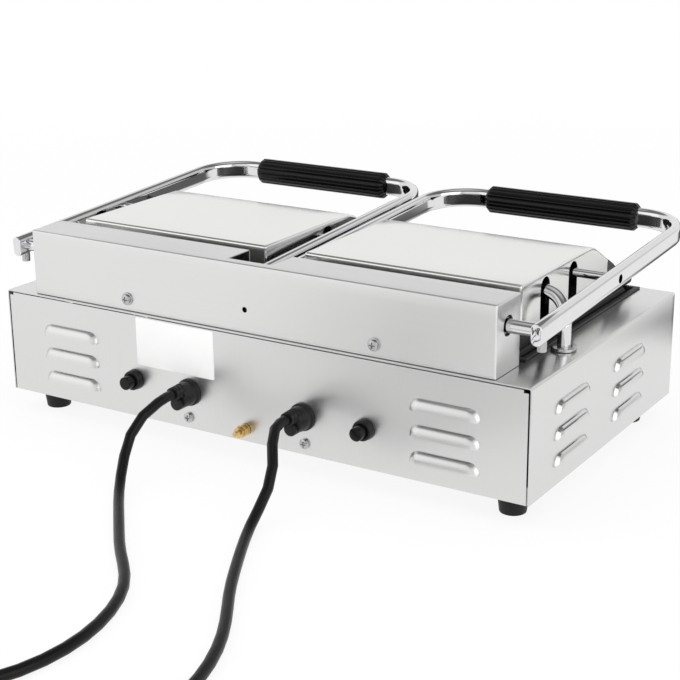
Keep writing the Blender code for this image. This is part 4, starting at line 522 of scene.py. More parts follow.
HALF_WIDTH = 0.285
FRONT_Y = -0.146
REAR_Y = 0.174
BASE_LOW = 0.022
BASE_TOP = 0.1253
SHEET = 0.0012
HOUSING_BEND = 0.0024
LOUVRE_LENGTH = 0.067
LOUVRE_HEIGHT = 0.011
LOUVRE_REACH = 0.005
LOUVRE_END = 0.011
LOUVRE_EDGES = (0.0390, 0.0630, 0.0870)
SIDE_LOUVRES = (0.0915, -0.0335)
OPENING_X = (0.0132, 0.2486)
OPENING_Y = (-0.137, 0.113)
TRAY_SLOT_X = 0.209
TRAY_SLOT_Z = (0.072, 0.096)
QUARTER_TURN = np.array([[0, 1], [-1, 0]])

housing_steel = steel("housing_stainless", (0.71, 0.71, 0.705), 0.20, (4, 700, 700), 0.00002)
box_steel = steel("hinge_box_stainless", (0.76, 0.76, 0.755), 0.33, (4, 700, 700), 0.00001)
plated = steel("plated_steel_grey", (0.55, 0.55, 0.56), 0.38, (60, 60, 60))


def hood_depth(u, w):
    """How far a louvre stands out, u along from its middle and w above its lower edge: reach *
    sqrt(1 - (w / height)^2 - (t / end)^2), t being the way past the straight part, and nought below it."""
    t = np.maximum(0, np.abs(u) - (LOUVRE_LENGTH / 2 - LOUVRE_END))
    inside = 1 - (w / LOUVRE_HEIGHT) ** 2 - (t / LOUVRE_END) ** 2
    return LOUVRE_REACH * np.sqrt(np.maximum(0, inside)) * (w >= 0)


def louvre_lines(centres, others):
    """Grid lines along a wall, closer at the tapered ends of each louvre."""
    near = (LOUVRE_LENGTH / 2 - LOUVRE_END) + LOUVRE_END * np.sin(np.linspace(0, np.pi / 2, 9))
    spread = np.concatenate([-near[::-1], np.linspace(-1, 1, 5)[1:-1] * near[0], near])
    lines = np.concatenate([*(centre + spread for centre in centres), others])
    return np.unique(np.round(lines, 7))


def louvre_rows(low, high, others=()):
    """Heights of the grid rows, and how far each lies above its louvre's lower edge. That edge has two rows,
    one on the flat wall below the slit and one on the hood, and rows off the louvres count as below."""
    rise = LOUVRE_HEIGHT * np.sin(np.linspace(0, np.pi / 2, 9))
    heights = [(z, -1.0) for z in (low, high, *others)]
    for edge in LOUVRE_EDGES:
        heights.append((edge, -1.0))
        heights += [(edge + r, r) for r in rise]
    heights.sort(key=lambda row: (round(row[0], 7), row[1]))
    z, w = np.array(heights).T
    return z, w


def slit_mask(z, count):
    """Leaves out the faces between the two rows of each lower edge."""
    return np.repeat((np.diff(z) < 1e-7)[:, None], count - 1, axis=1)


def bored(grid, mask, rows, columns, radius, depth=0.0, steps=3, floor=False):
    """A round hole in a flat stretch of a grid. The cells between the given lines go, and a patch runs from
    their edge B to the circle: point = centre + (1 - t) * (B - centre) + t * radius * (B - centre) /
    |B - centre|. With a depth, a wall follows straight in, and with a floor it is closed there."""
    (i0, i1), (j0, j1) = rows, columns
    mask[i0:i1, j0:j1] = True
    block = grid[i0 : i1 + 1, j0 : j1 + 1]
    loop = np.concatenate([block[0, :-1], block[:-1, -1], block[-1, :0:-1], block[::-1, 0]])
    centre = (block[0, 0] + block[-1, -1]) / 2
    spoke = loop - centre
    rim = spoke * radius / np.linalg.norm(spoke, axis=1, keepdims=True)
    t = np.linspace(0, 1, steps + 1)[:, None, None]
    patches = [centre + (1 - t) * spoke + t * rim]
    if depth:
        across = block[0, -1] - block[0, 0]
        up = block[-1, 0] - block[0, 0]
        inward = -np.cross(across, up)
        inward /= np.linalg.norm(inward)
        wall = patches[0][-1] + inward * np.array([0, depth])[:, None, None]
        patches.append(wall)
        if floor:
            patches.append(wall[-1, :-1])
    return patches


def line_at(lines, value):
    """The number of the grid line nearest to a value."""
    return int(np.argmin(np.abs(lines - value)))


def finish_sheet(made, wall=SHEET, edge=0.00035):
    """Give a folded skin its wall, inward, and break its cut edges."""
    thick = made.modifiers.new("wall", "SOLIDIFY")
    thick.thickness = wall
    thick.offset = -1
    broken = made.modifiers.new("edge", "BEVEL")
    broken.width = edge
    broken.segments = 2
    broken.limit_method = "ANGLE"
    broken.angle_limit = np.radians(55)
    broken.harden_normals = True
    return made


def plan_line(x, y):
    """Points of a plan along a line, x or y being the same for all."""
    return np.column_stack(np.broadcast_arrays(x, y))


def walls_round(sides, steps, closed=False):
    """Plan of walls and their outward directions, counter-clockwise: the points of each side, and between
    two sides the corner's point with the directions cos(a) * this + sin(a) * next."""
    turn = np.linspace(0, np.pi / 2, steps + 2)[1:-1, None]
    base, outward = [], []
    for spots, direction in sides:
        direction = np.array(direction, float)
        base += [spots, np.repeat(spots[-1:], steps, axis=0)]
        arc = np.cos(turn) * direction + np.sin(turn) * (direction @ QUARTER_TURN)
        outward += [np.tile(direction, (len(spots), 1)), arc]
    if closed:
        return np.concatenate([*base, base[0][:1]]), np.concatenate([*outward, outward[0][:1]])
    return np.concatenate(base[:-1]), np.concatenate(outward[:-1])


def raised(base, outward, offset, height):
    """A wall's grid over its plan: the point base + offset * outward at a height, each a column or a whole
    table."""
    shape = (len(height), len(base))
    offset, height = np.broadcast_to(offset, shape), np.broadcast_to(height, shape)
    return np.concatenate([base + offset[..., None] * outward, height[..., None]], axis=-1)


def level_grid(x, y, height):
    """The grid of two sets of lines, at one height or at a height for each y."""
    plan = np.stack(np.meshgrid(x, y), axis=-1)
    return np.concatenate([plan, np.broadcast_to(height, (*plan.shape[:2], 1))], axis=-1)


def cell_middles(grid):
    """How far the middles of a grid's cells lie from x = 0, and their y."""
    middle = (grid[1:, 1:] + grid[:-1, :-1]) / 2
    return np.abs(middle[..., 0]), middle[..., 1]


def make_housing():
    """Walls carried round the plan, then rolled inward over the top bend: the offset is -r (1 - cos a) and
    the height top - r + r sin a. The deck is a flat grid on the same lines."""
    r = HOUSING_BEND
    side_y = louvre_lines(SIDE_LOUVRES, (FRONT_Y + r, REAR_Y, *OPENING_Y, -0.09, 0.03, 0.15))
    front_x = np.array([HALF_WIDTH - r, OPENING_X[1], TRAY_SLOT_X, 0.15, 0.08, OPENING_X[0]])
    front_x = np.concatenate([-front_x, front_x[::-1]])
    sides = [
        (plan_line(-HALF_WIDTH + r, side_y[::-1]), (-1, 0)),
        (plan_line(front_x, FRONT_Y + r), (0, -1)),
        (plan_line(HALF_WIDTH - r, side_y), (1, 0)),
    ]
    base, outward = walls_round(sides, 4)
    z, w = louvre_rows(BASE_LOW, BASE_TOP - r, TRAY_SLOT_Z)
    on_side = np.abs(outward[:, 0]) > 0.99
    u = np.min(np.abs(base[:, 1:] - np.array(SIDE_LOUVRES)), axis=1) + ~on_side
    wall = raised(base, outward, r + hood_depth(u[None, :], w[:, None]), z[:, None])
    mask = slit_mask(z, len(base))
    slot_x = (np.abs(base[:, 0]) < TRAY_SLOT_X + 0.0005) & (base[:, 1] < FRONT_Y + 0.01)
    low, high = (line_at(z, edge) for edge in TRAY_SLOT_Z)
    mask[low:high] |= (slot_x[:-1] & slot_x[1:])[None]
    turn = np.linspace(0, np.pi / 2, 6)[:, None]
    roll = raised(base, outward, r * np.cos(turn), BASE_TOP - r + r * np.sin(turn))
    deck = level_grid(front_x, side_y, BASE_TOP)
    across, along = cell_middles(deck)
    hole = (across > OPENING_X[0]) & (across < OPENING_X[1]) & (along > OPENING_Y[0]) & (along < OPENING_Y[1])
    made = surface("housing_shell", [(wall, mask), roll, (deck, hole)], housing_steel, closed=False)
    fit(finish_sheet(made), "base", "stainless", "base_housing")


make_housing()


# Rear panel.
# A flat stainless sheet set in between the sides, held by two screws, with three louvres pressed at each end.
# A blank foil plate is stuck on it where the maker's data would be.

PANEL_HALF = 0.2823
PANEL_LOW = 0.0223
PANEL_TOP = 0.1232
PANEL_NOTCH = (0.0045, 0.0025)
BACK_LOUVRES = (0.2055, -0.2055)

panel_steel = steel("panel_stainless", (0.73, 0.73, 0.725), 0.31, (700, 700, 4), 0.000008)


def make_panel():
    """A flat grid with the louvre function on it, and two small corners left out at the top."""
    inner = PANEL_HALF - PANEL_NOTCH[0]
    x = louvre_lines(BACK_LOUVRES, (-PANEL_HALF, -inner, inner, PANEL_HALF))[::-1]
    z, w = louvre_rows(PANEL_LOW, PANEL_TOP, (PANEL_TOP - PANEL_NOTCH[1],))
    u = np.min(np.abs(x[:, None] - np.array(BACK_LOUVRES)), axis=1)
    grid = np.empty((len(z), len(x), 3))
    grid[..., 0] = x
    grid[..., 1] = REAR_Y + hood_depth(u[None, :], w[:, None])
    grid[..., 2] = z[:, None]
    mask = slit_mask(z, len(x))
    mask[-1, [0, -1]] = True
    made = surface("panel_sheet", [(grid, mask)], panel_steel, closed=False)
    fit(finish_sheet(made), "base", "stainless", "rear_panel")


make_panel()


def enamel(name, light, dark, roughness, mottle):
    """A painted or coated surface: two close tones by broad noise, a faint orange-peel skin and uneven
    gloss."""
    material, tree, place = start_material(name)
    broad = noise(tree, place, mottle, 3.0)
    peel = noise(tree, place, mottle * 30, 2.0)
    coat(material, broad, dark, light, peel, roughness - 0.05, roughness + 0.08, peel, 0.15, 0.00005)
    return material


foil = enamel("foil_white", (0.95, 0.95, 0.945), (0.90, 0.90, 0.895), 0.35, 40)
FOIL_SIZE = (0.090, 0.047)
FOIL_PLACE = (0.0785, REAR_Y, 0.0985)


def make_foil():
    """A thin plate with rounded corners, flat on the panel."""
    sheet = pillow(rounded_plan(*FOIL_SIZE, 0.0015, 3), 0.00005, 0.00025, 0.00008, 2)
    lay = np.array([[-1, 0, 0], [0, 0, 1], [0, 1, 0]])
    patches = [patch @ lay + np.array(FOIL_PLACE) for patch in sheet]
    fit(surface("blank_plate", patches, foil), "base", "stainless")


make_foil()


# Feet.
# Four turned rubber feet, wider at the top, each screwed up into the bottom plate.

FOOT_PLACES = ((-0.256, -0.111), (0.256, -0.111), (-0.256, 0.143), (0.256, 0.143))
foot_black = rubber("foot_rubber_black", (0.014, 0.014, 0.015), 0.5, 1200, 0.0003)


def eased(points, setback, steps=4, closed=False):
    """Round the corners of a line: each corner P gives way to (1-t)^2 A + 2t(1-t) P + t^2 B, where A and B
    lie the setback away from P on its two edges, or at most a little under half an edge."""
    points = np.asarray(points, float)
    before, after = np.roll(points, 1, axis=0) - points, np.roll(points, -1, axis=0) - points
    ends = []
    for edge in (before, after):
        size = np.linalg.norm(edge, axis=1, keepdims=True)
        ends.append(points + edge * np.minimum(setback / size, 0.47))
    t = np.linspace(0, 1, steps + 1)[None, :, None]
    curve = (1 - t) ** 2 * ends[0][:, None] + 2 * t * (1 - t) * points[:, None] + t**2 * ends[1][:, None]
    if closed:
        return curve.reshape(-1, points.shape[1])
    return np.concatenate([points[:1], curve[1:-1].reshape(-1, points.shape[1]), points[-1:]])


AXES = {
    "X": ((1, 0, 0), (0, 1, 0), (0, 0, 1)),
    "Y": ((0, 1, 0), (0, 0, 1), (1, 0, 0)),
    "-Y": ((0, -1, 0), (1, 0, 0), (0, 0, 1)),
    "Z": ((0, 0, 1), (1, 0, 0), (0, 1, 0)),
}


def turned(profile, centre, axis="Z", sides=48):
    """A profile of (radius, height) turned about an axis: point = centre + height * axis + radius *
    (cos a, sin a)."""
    along, first, second = np.array(AXES[axis], float)
    profile = np.asarray(profile, float)
    ring = circle(1.0, sides)
    spokes = ring[:, :1] * first + ring[:, 1:] * second
    return np.asarray(centre, float) + profile[:, None, 1:] * along + profile[:, None, :1] * spokes


def lathe(name, line, rounding, centre, finish, axis="Z", sides=48, steps=4):
    """A round part: a line of (radius, height) with its corners rounded, turned about an axis."""
    return surface(name, [turned(eased(line, rounding, steps), centre, axis, sides)], finish)


FOOT_LINE = [(0, 0.0218), (0.0145, 0.0218), (0.0118, 0.0), (0.005, 0.0), (0.005, 0.014), (0.0, 0.014)]
for x, y in FOOT_PLACES:
    node = f"foot_{'front' if y < 0 else 'rear'}_{'left' if x < 0 else 'right'}"
    fit(lathe(f"rubber_{node}", FOOT_LINE, 0.0011, (x, y, 0), foot_black), "base", "foot_rubber", node)


# Box over the hinge.
# A stainless box folded from one sheet, screwed to the base top, with a notch for the two inner arms.
# Each cheek has a round hole for a hinge shaft.

BOX_HALF = 0.2506
BOX_FRONT_Y = 0.126
BOX_REAR_Y = 0.1705
BOX_LOW = 0.1256
BOX_TOP = 0.1892
BOX_BEND = 0.0016
SHAFT_Y = 0.149
SHAFT_Z = 0.1665
SHAFT_HOLE = 0.009
SHAFT_HOLE_CELL = 0.011
SMALL_HOLE = 0.0026
SMALL_HOLE_CELL = 0.004
SMALL_HOLE_INNER = 0.0013
SMALL_HOLE_Z = 0.147
ARM_NOTCH_X = 0.024
ARM_NOTCH_Y = 0.160


def make_hinge_box():
    """Four walls carried round the plan and rolled over into the deck, as for the housing, with round
    holes."""
    r = BOX_BEND
    cell = np.linspace(-SHAFT_HOLE_CELL, SHAFT_HOLE_CELL, 7)
    small = np.array([SMALL_HOLE_CELL, SMALL_HOLE_INNER, -SMALL_HOLE_INNER, -SMALL_HOLE_CELL])
    x = np.array([BOX_HALF - r, 0.13, ARM_NOTCH_X])
    x = np.unique(np.concatenate([x, small, -x]))
    y = np.unique(np.concatenate([[BOX_FRONT_Y + r, BOX_REAR_Y - r, ARM_NOTCH_Y], SHAFT_Y + cell]))
    z = np.unique(np.concatenate([[BOX_LOW, BOX_TOP - r], SMALL_HOLE_Z + small, SHAFT_Z + cell]))
    sides = [
        (plan_line(x, y[0]), (0, -1)),
        (plan_line(x[-1], y), (1, 0)),
        (plan_line(x[::-1], y[-1]), (0, 1)),
        (plan_line(x[0], y[::-1]), (-1, 0)),
    ]
    base, outward = walls_round(sides, 2, closed=True)
    front, right, rear, left = np.cumsum([0, *(len(spots) + 2 for spots, _ in sides[:-1])])
    turn = np.linspace(0, np.pi / 2, 6)[1:]
    levels = np.concatenate([z, BOX_TOP - r + r * np.sin(turn)])
    offset = np.concatenate([np.full(len(z), r), r * np.cos(turn)])
    wall = raised(base, outward, offset[:, None], levels[:, None])
    mask = np.zeros((len(levels) - 1, len(base) - 1), bool)
    mask[:, front + line_at(x, -ARM_NOTCH_X) : front + line_at(x, ARM_NOTCH_X)] = True
    patches = []
    for start, lines, place, height, radius, half in (
        (right, y, SHAFT_Y, SHAFT_Z, SHAFT_HOLE, SHAFT_HOLE_CELL),
        (left, y[::-1], SHAFT_Y, SHAFT_Z, SHAFT_HOLE, SHAFT_HOLE_CELL),
        (rear, x[::-1], 0, SMALL_HOLE_Z, SMALL_HOLE, SMALL_HOLE_CELL),
    ):
        rows = (line_at(z, height - half), line_at(z, height + half))
        columns = sorted((start + line_at(lines, place - half), start + line_at(lines, place + half)))
        patches += bored(wall, mask, rows, columns, radius)
    deck = level_grid(x, y, BOX_TOP)
    across, along = cell_middles(deck)
    notch = (across < ARM_NOTCH_X) & (along < ARM_NOTCH_Y)
    made = surface("hinge_box", [(wall, mask), (deck, notch), *patches], box_steel, closed=False)
    fit(finish_sheet(made), "base", "stainless", "rear_cover")


make_hinge_box()


# Screws at the back.
# Plated pan-head screws with a cross recess, those of the hinge box on washers.

bright = steel("screw_plated", (0.50, 0.50, 0.50), 0.16, (300, 300, 300), 0.00002)
HEAD_RADIUS = 0.0048
HEAD_DOME = 0.0020
HEAD_WALL = 0.0012
CROSS_DEPTH = 0.0011
CROSS_HALF = (0.00045, 0.0026)
WASHER = [(0, 0.001), (0.0062, 0.001), (0.0062, 0.0001), (0, 0.0001)]


def screw_head(x, face, z, washer):
    """A head over its plan: height = low + wall + dome * sqrt(1 - (r / R)^2), less a cross where |x| or |z|
    is small, and a washer turned below it."""
    low = 0.001 if washer else 0.0001
    reach = np.concatenate([np.linspace(0, 1, 16), [1.0, 1.0]]) * HEAD_RADIUS
    flat = reach[:, None, None] * circle(1.0, 64)
    dome = np.sqrt(np.maximum(0, 1 - (reach[:, None] / (HEAD_RADIUS + 0.0003)) ** 2))
    height = low + HEAD_WALL + HEAD_DOME * dome
    cross = (np.abs(flat).min(axis=-1) < CROSS_HALF[0]) & (reach[:, None] < CROSS_HALF[1])
    height = height - CROSS_DEPTH * cross
    height[-1] = low
    grid = np.stack([x + flat[..., 0], face + height, z + flat[..., 1]], axis=-1)
    if washer:
        return [grid, grid[-1, :-1], turned(eased(WASHER, 0.0003, 2), (x, face, z), "Y")]
    return [grid, grid[-1, :-1]]


for name, side in SIDES.items():
    for kind, x, face, z in (("box", 0.135, BOX_REAR_Y, 0.137), ("panel", 0.0647, REAR_Y, 0.033)):
        made = surface(f"{kind}_screw_{name}", screw_head(side * x, face, z, kind == "box"), bright)
        node = "rear_cover" if kind == "box" else "rear_panel"
        fit(made, "base", "plated_steel", f"{node}_screw_{name}")


# Lower cooking plates.
# Grey cast iron with ribs along the depth, a gutter round them and a rim that rests on the base top.
# The gutter drains through a hole at the front into the grease tray.

CASTING_X = (0.0107, 0.2511)
CASTING_Y = (-0.1395, 0.1155)
PLATE_X = (0.0212, 0.2406)
PLATE_Y = (-0.129, 0.105)
CASTING_RIM = 0.1274
CASTING_LOW = 0.107
GUTTER_Z = 0.119
PLATE_TOP = 0.129
RIB_HEIGHT = 0.0032
RIB_PITCH = 0.0115
RIM_WIDTH = 0.0051
RIM_ROUND = 0.0006
TUB_SHRINK = 0.972


def cast_iron(name, colour, roughness):
    """Seasoned cast iron: a sandy skin from two scales of noise, and patches where the seasoning is
    darker."""
    material, tree, place = start_material(name)
    sand = noise(tree, place, 1500.0, 4.0)
    skin = noise(tree, place, 90.0, 4.0)
    worn = noise(tree, place, 14.0, 3.0)
    height = wire(tree, "ShaderNodeMath", operation="ADD", _0=sand, _1=skin).outputs[0]
    dark, light = shade(colour, 0.6), shade(colour, 1.5)
    shader = coat(material, worn, dark, light, skin, roughness - 0.08, roughness + 0.1, height, 0.5, 0.00025)
    shader.inputs["Metallic"].default_value = 0.35
    return material


iron_low = cast_iron("iron_lower", (0.030, 0.030, 0.032), 0.45)
iron_up = cast_iron("iron_upper", (0.026, 0.026, 0.028), 0.42)


def rib_lines(low, high):
    """Grid lines across the ribs, and the height share of each: 1 on a rib's flat top, 0 in the valley,
    eased."""
    count = int(round((high - low) / RIB_PITCH))
    pitch = (high - low) / count
    phase = np.array([-0.5, -0.42, -0.36, -0.33, -0.21, -0.18, -0.13, 0, 0.13, 0.18, 0.21, 0.33, 0.36, 0.42])
    share = np.interp(np.abs(phase), (0.13, 0.18, 0.21, 0.33, 0.36, 0.42), (1, 0.97, 0.86, 0.12, 0.03, 0))
    lines = low + (np.arange(count)[:, None] + 0.5 + phase) * pitch
    return np.append(lines.ravel(), high), np.append(np.tile(share, count), 0.0)


def border(casting, plate, inner, inner_drop):
    """Lines, classes and drops from the rim's outer edge across the gutter, the plate's own lines, and back.
    The class is 0 on the rim, 1 in the gutter and 2 on the plate."""
    outer = casting[0] + np.array([0, RIM_ROUND, RIM_WIDTH - RIM_ROUND, RIM_WIDTH, RIM_WIDTH + 0.0004])
    outer = np.append(outer, plate[0] - np.array([0.0004, 0.0003]))
    kinds = [0] * 4 + [1] * 3
    drops = [RIM_ROUND, 0, 0, RIM_ROUND, 0, 0, 0]
    lines = np.concatenate([outer, inner, casting[1] - (outer[::-1] - casting[0])])
    kinds = np.concatenate([kinds, [2] * len(inner), kinds[::-1]])
    return lines, kinds, np.concatenate([drops, inner_drop, drops[::-1]])


def make_lower(name, side):
    """Height over the plan, by the lowest class of its two lines: rim, gutter or ribs. Each step takes four
    lines that fall by a small round."""
    ribs, share = rib_lines(*PLATE_X)
    side_drop = np.zeros(len(ribs))
    side_drop[[0, -1]] = 0.0006
    x, kind_x, drop_x = border(CASTING_X, PLATE_X, ribs, side_drop)
    step = np.array([0, 0.0001, 0.0006, 0.0012])
    depth = np.concatenate([PLATE_Y[0] + step, np.linspace(*PLATE_Y, 6)[1:-1], PLATE_Y[1] - step[::-1]])
    end_drop = np.zeros(len(depth))
    end_drop[[0, 1, -1]] = (0.0008, 0.0004, 0.0008)
    y, kind_y, drop_y = border(CASTING_Y, PLATE_Y, depth, end_drop)
    height_x = np.zeros(len(x))
    height_x[kind_x == 2] = share
    kind = np.minimum(kind_x[None, :], kind_y[:, None])
    drop = np.maximum(drop_x[None, :], drop_y[:, None])
    rib = PLATE_TOP - RIB_HEIGHT * (1 - height_x[None, :])
    z = np.select([kind == 0, kind == 1], [CASTING_RIM - drop, GUTTER_Z + 0 * drop], rib - drop)
    if side < 0:
        x, z = -x[::-1], z[:, ::-1]
    top = np.empty((len(y), len(x), 3))
    top[..., 0], top[..., 1], top[..., 2] = x, y[:, None], z
    rim = np.concatenate([top[0, :-1], top[:-1, -1], top[-1, :0:-1], top[::-1, 0]])
    skirt = np.stack([rim, rim * (1, 1, 0) + (0, 0, BASE_TOP + 0.0003)])
    middle = rim.mean(axis=0)
    inner = middle + (skirt[1] - middle) * (TUB_SHRINK, TUB_SHRINK, 1)
    tub = np.stack([skirt[1], inner, inner * (1, 1, 0) + (0, 0, CASTING_LOW)])
    made = surface(name.replace("plate", "griddle"), [top, skirt, tub, tub[-1, :-1]], iron_low)
    fit(made, "base", "cast_iron_lower", name)


for name, side in SIDES.items():
    make_lower(f"lower_plate_{name}", side)


# Hinge shafts.
# Bright steel rods 12 mm thick, one for each handle, pushed through the arms and the cheeks of the box.

SHAFT_RADIUS = 0.006
SHAFT_REACH = (0.0041, 0.28595)
CHROME_GRAIN = (90, 90, 90)
chrome = steel("bright_chrome", (0.74, 0.74, 0.75), 0.06, CHROME_GRAIN, 0.00001)


def round_bar(name, radius, ends, y, z, finish, sides):
    """A round bar along X from one place to another, its end corners eased."""
    near, far = sorted(ends)
    line = [(0, 0), (radius, 0), (radius, far - near), (0, far - near)]
    return lathe(name, line, 0.0005, (near, y, z), finish, "X", sides, 3)


for name, side in SIDES.items():
    ends = [side * reach for reach in SHAFT_REACH]
    bar = round_bar(f"shaft_bar_{name}", SHAFT_RADIUS, ends, SHAFT_Y, SHAFT_Z, chrome, 40)
    fit(bar, f"handle_{name}", "chromed_steel", f"hinge_shaft_{name}")


# Handle frames.
# Flat oval bar 10 by 19.5 mm, bent to a U, polished and chromed, with its ends faced square.
# It is bored for the shaft and for the suspension rod, which stops short of the outer face.

INNER_ARM_X = 0.009
OUTER_ARM_X = 0.281
HANDLE_REACH = 0.335
BAR_RISE = 0.0175
BAR_Y = SHAFT_Y - HANDLE_REACH
BAR_Z = SHAFT_Z + BAR_RISE
ARM_WIDTH = 0.010
ARM_HEIGHT = 0.0195
ARM_TAIL = 0.012
ARM_ROUND = 0.0008
CORNER_RADIUS = 0.048
ROD_Y = -0.001
ROD_RADIUS = 0.004
ROD_BORE_CELL = 0.0046
ROD_BORE_DEPTH = 0.0035
# painted shade: the near-black colour painted inside the rod's bore in the outer arm
PAINTED_BORE_SHADE = (0.01, 0.01, 0.01)


def arm_height(y):
    """Height of a handle's centre line: it climbs evenly from the hinge to the grip."""
    return SHAFT_Z + BAR_RISE * (SHAFT_Y - y) / HANDLE_REACH


def chrome_with_painted_bore_shade(name, colour):
    """Bright chrome with painted shade inside the outer arm's bore: the base colour drops to a near-black
    tone where the surface lies about the rod's radius from its axis and |x| is between the arm's middle and
    its outer face."""
    material = steel(name, colour, 0.06, CHROME_GRAIN, 0.00001)
    tree = material.node_tree
    place = wire(tree, "ShaderNodeTexCoord").outputs["Object"]
    x = wire(tree, "ShaderNodeSeparateXYZ", _0=place).outputs["X"]
    across = wire(tree, "ShaderNodeMath", operation="ABSOLUTE", _0=x).outputs[0]
    flat = wire(tree, "ShaderNodeVectorMath", operation="MULTIPLY", _0=place, _1=(0, 1, 1)).outputs[0]
    axis = (0, ROD_Y, arm_height(ROD_Y))
    reach = wire(tree, "ShaderNodeVectorMath", operation="DISTANCE", _0=flat, _1=axis).outputs["Value"]
    share = 1.0
    for test, value, limit in (
        ("LESS_THAN", reach, ROD_RADIUS + 0.00025),
        ("GREATER_THAN", across, OUTER_ARM_X),
        ("LESS_THAN", across, OUTER_ARM_X + ARM_WIDTH / 2 - 0.0002),
    ):
        passed = wire(tree, "ShaderNodeMath", operation=test, _0=value, _1=limit).outputs[0]
        share = wire(tree, "ShaderNodeMath", operation="MULTIPLY", _0=passed, _1=share).outputs[0]
    base = tree.nodes["Principled BSDF"].inputs["Base Color"]
    plated_tone = base.links[0].from_socket
    mix = wire(tree, "ShaderNodeMix", data_type="RGBA", Factor=share, _6=plated_tone, _7=(*PAINTED_BORE_SHADE, 1))
    tree.links.new(mix.outputs[2], base)
    return material


# chrome for the frame, with painted shade inside the rod's bore
frame_chrome = chrome_with_painted_bore_shade("frame_chrome", (0.76, 0.76, 0.77))


def oval(width, height, flat=8, steps=8):
    """Upright flat oval, the first point repeated last: two half circles joined by straight sides."""
    radius = width / 2
    straight = height / 2 - radius
    angle = np.linspace(0, np.pi, steps + 1)
    top = np.stack([radius * np.cos(angle), straight + radius * np.sin(angle)], axis=-1)
    side = plan_line(-radius, np.linspace(straight, -straight, flat + 1)[1:-1])
    half = np.concatenate([top, side])
    whole = np.concatenate([half, -half])
    return np.concatenate([whole, whole[:1]])


def make_frame(name, side):
    """The oval carried along the U, its last stretches drawn in by small rounds: e (1 - cos a) at e sin a."""
    tail = SHAFT_Y + ARM_TAIL
    corner = BAR_Y + CORNER_RADIUS
    turn = np.linspace(0, np.pi / 2, 25)
    in_by, back_by = CORNER_RADIUS * (1 - np.cos(turn)), CORNER_RADIUS * np.sin(turn)
    inner = np.column_stack([INNER_ARM_X + in_by, corner - back_by])
    outer = inner[::-1] * (-1, 1) + (INNER_ARM_X + OUTER_ARM_X, 0)
    turn = np.linspace(np.pi / 2, 0, 4)
    bore = ROD_Y + np.linspace(ROD_BORE_CELL, -ROD_BORE_CELL, 9)
    run = np.concatenate([tail - ARM_ROUND + ARM_ROUND * np.sin(turn), [0.12, 0.06], bore, [-0.05, -0.1]])
    plan = np.concatenate([plan_line(INNER_ARM_X, run), inner, outer, plan_line(OUTER_ARM_X, run[::-1])])
    path = np.column_stack([side * plan[:, 0], plan[:, 1], arm_height(plan[:, 1])])
    shrink = np.zeros(len(path))
    shrink[:4] = ARM_ROUND * (1 - np.cos(turn))
    shrink += shrink[::-1]
    size = np.array([ARM_WIDTH, ARM_HEIGHT])
    section = oval(*size) * (1 - 2 * shrink[:, None, None] / size)
    grid = carried(path, section)
    mask = np.zeros((grid.shape[0] - 1, grid.shape[1] - 1), bool)
    first = len(path) - len(run) + 2
    # the straight flank of the oval that faces away from the middle of the grill
    flank = max(((8, 16), (24, 32)), key=lambda ends: side * grid[first, ends[0] : ends[1] + 1, 0].mean())
    hole = bored(grid, mask, (first, first + 8), flank, ROD_RADIUS + 0.0002, -ROD_BORE_DEPTH, 3, True)
    made = surface(f"u_frame_{name}", [(grid, mask), *capped(grid)[1:], *hole], frame_chrome)
    fit(made, f"handle_{name}", "chromed_steel", f"handle_frame_{name}")


for name, side in SIDES.items():
    make_frame(name, side)


# Grips, set screws and suspension rods.
# The grip is a black moulded sleeve with long flutes and chamfered ends. The socket screw under each outer
# arm clamps it on its shaft, and the rod between the arms carries the lid.

GRIP_RADIUS = 0.014
GRIP_LENGTH = 0.166
FLUTES = 14
FLUTE_DEPTH = 0.0011
FLUTE_WIDTH = 0.13
GRIP_ENDS = (
    (0, 0.0042, 0.3),
    (0.0004, 0.0036, 0.5),
    (0.0012, 0.0026, 0.8),
    (0.0034, 0.0005, 1),
    (0.0042, 0, 1),
    (0.010, 0, 1),
)
CLAMP_TOP = 0.1602
CLAMP_LOW = 0.1492
ROD_REACH = (0.006, 0.2826)
# chrome for the rod, whose end inside the outer arm's bore takes the same painted shade
rod_chrome = chrome_with_painted_bore_shade("rod_chrome", (0.72, 0.72, 0.73))
grip_black = rubber("grip_plastic", (0.004, 0.004, 0.0045), 0.17, 500, 0.00004)


def make_grip(name, side):
    """Radius = R - depth * exp(-(a / width)^2), a being the angle from the nearest flute, drawn in at both
    ends."""
    angle = np.linspace(0, 2 * np.pi, FLUTES * 12 + 1)
    away = (angle * FLUTES / (2 * np.pi) + 0.5) % 1 - 0.5
    flute = FLUTE_DEPTH * np.exp(-((away / FLUTE_WIDTH) ** 2))
    reach, inset, share = np.array(GRIP_ENDS).T
    middle = side * (INNER_ARM_X + OUTER_ARM_X) / 2
    half = GRIP_LENGTH / 2
    x = middle + np.concatenate([-half + reach, np.linspace(-0.06, 0.06, 5), half - reach[::-1]])
    radius = GRIP_RADIUS - np.concatenate([inset, np.zeros(5), inset[::-1]])
    share = np.concatenate([share, np.ones(5), share[::-1]])
    ring = radius[:, None] - flute[None, :] * share[:, None]
    x = np.broadcast_to(x[:, None], ring.shape)
    grid = np.stack([x, BAR_Y + ring * np.cos(angle), BAR_Z + ring * np.sin(angle)], axis=-1)
    made = surface(f"fluted_grip_{name}", capped(grid), grip_black, crease=40)
    fit(made, f"handle_{name}", "black_plastic", f"grip_{name}")


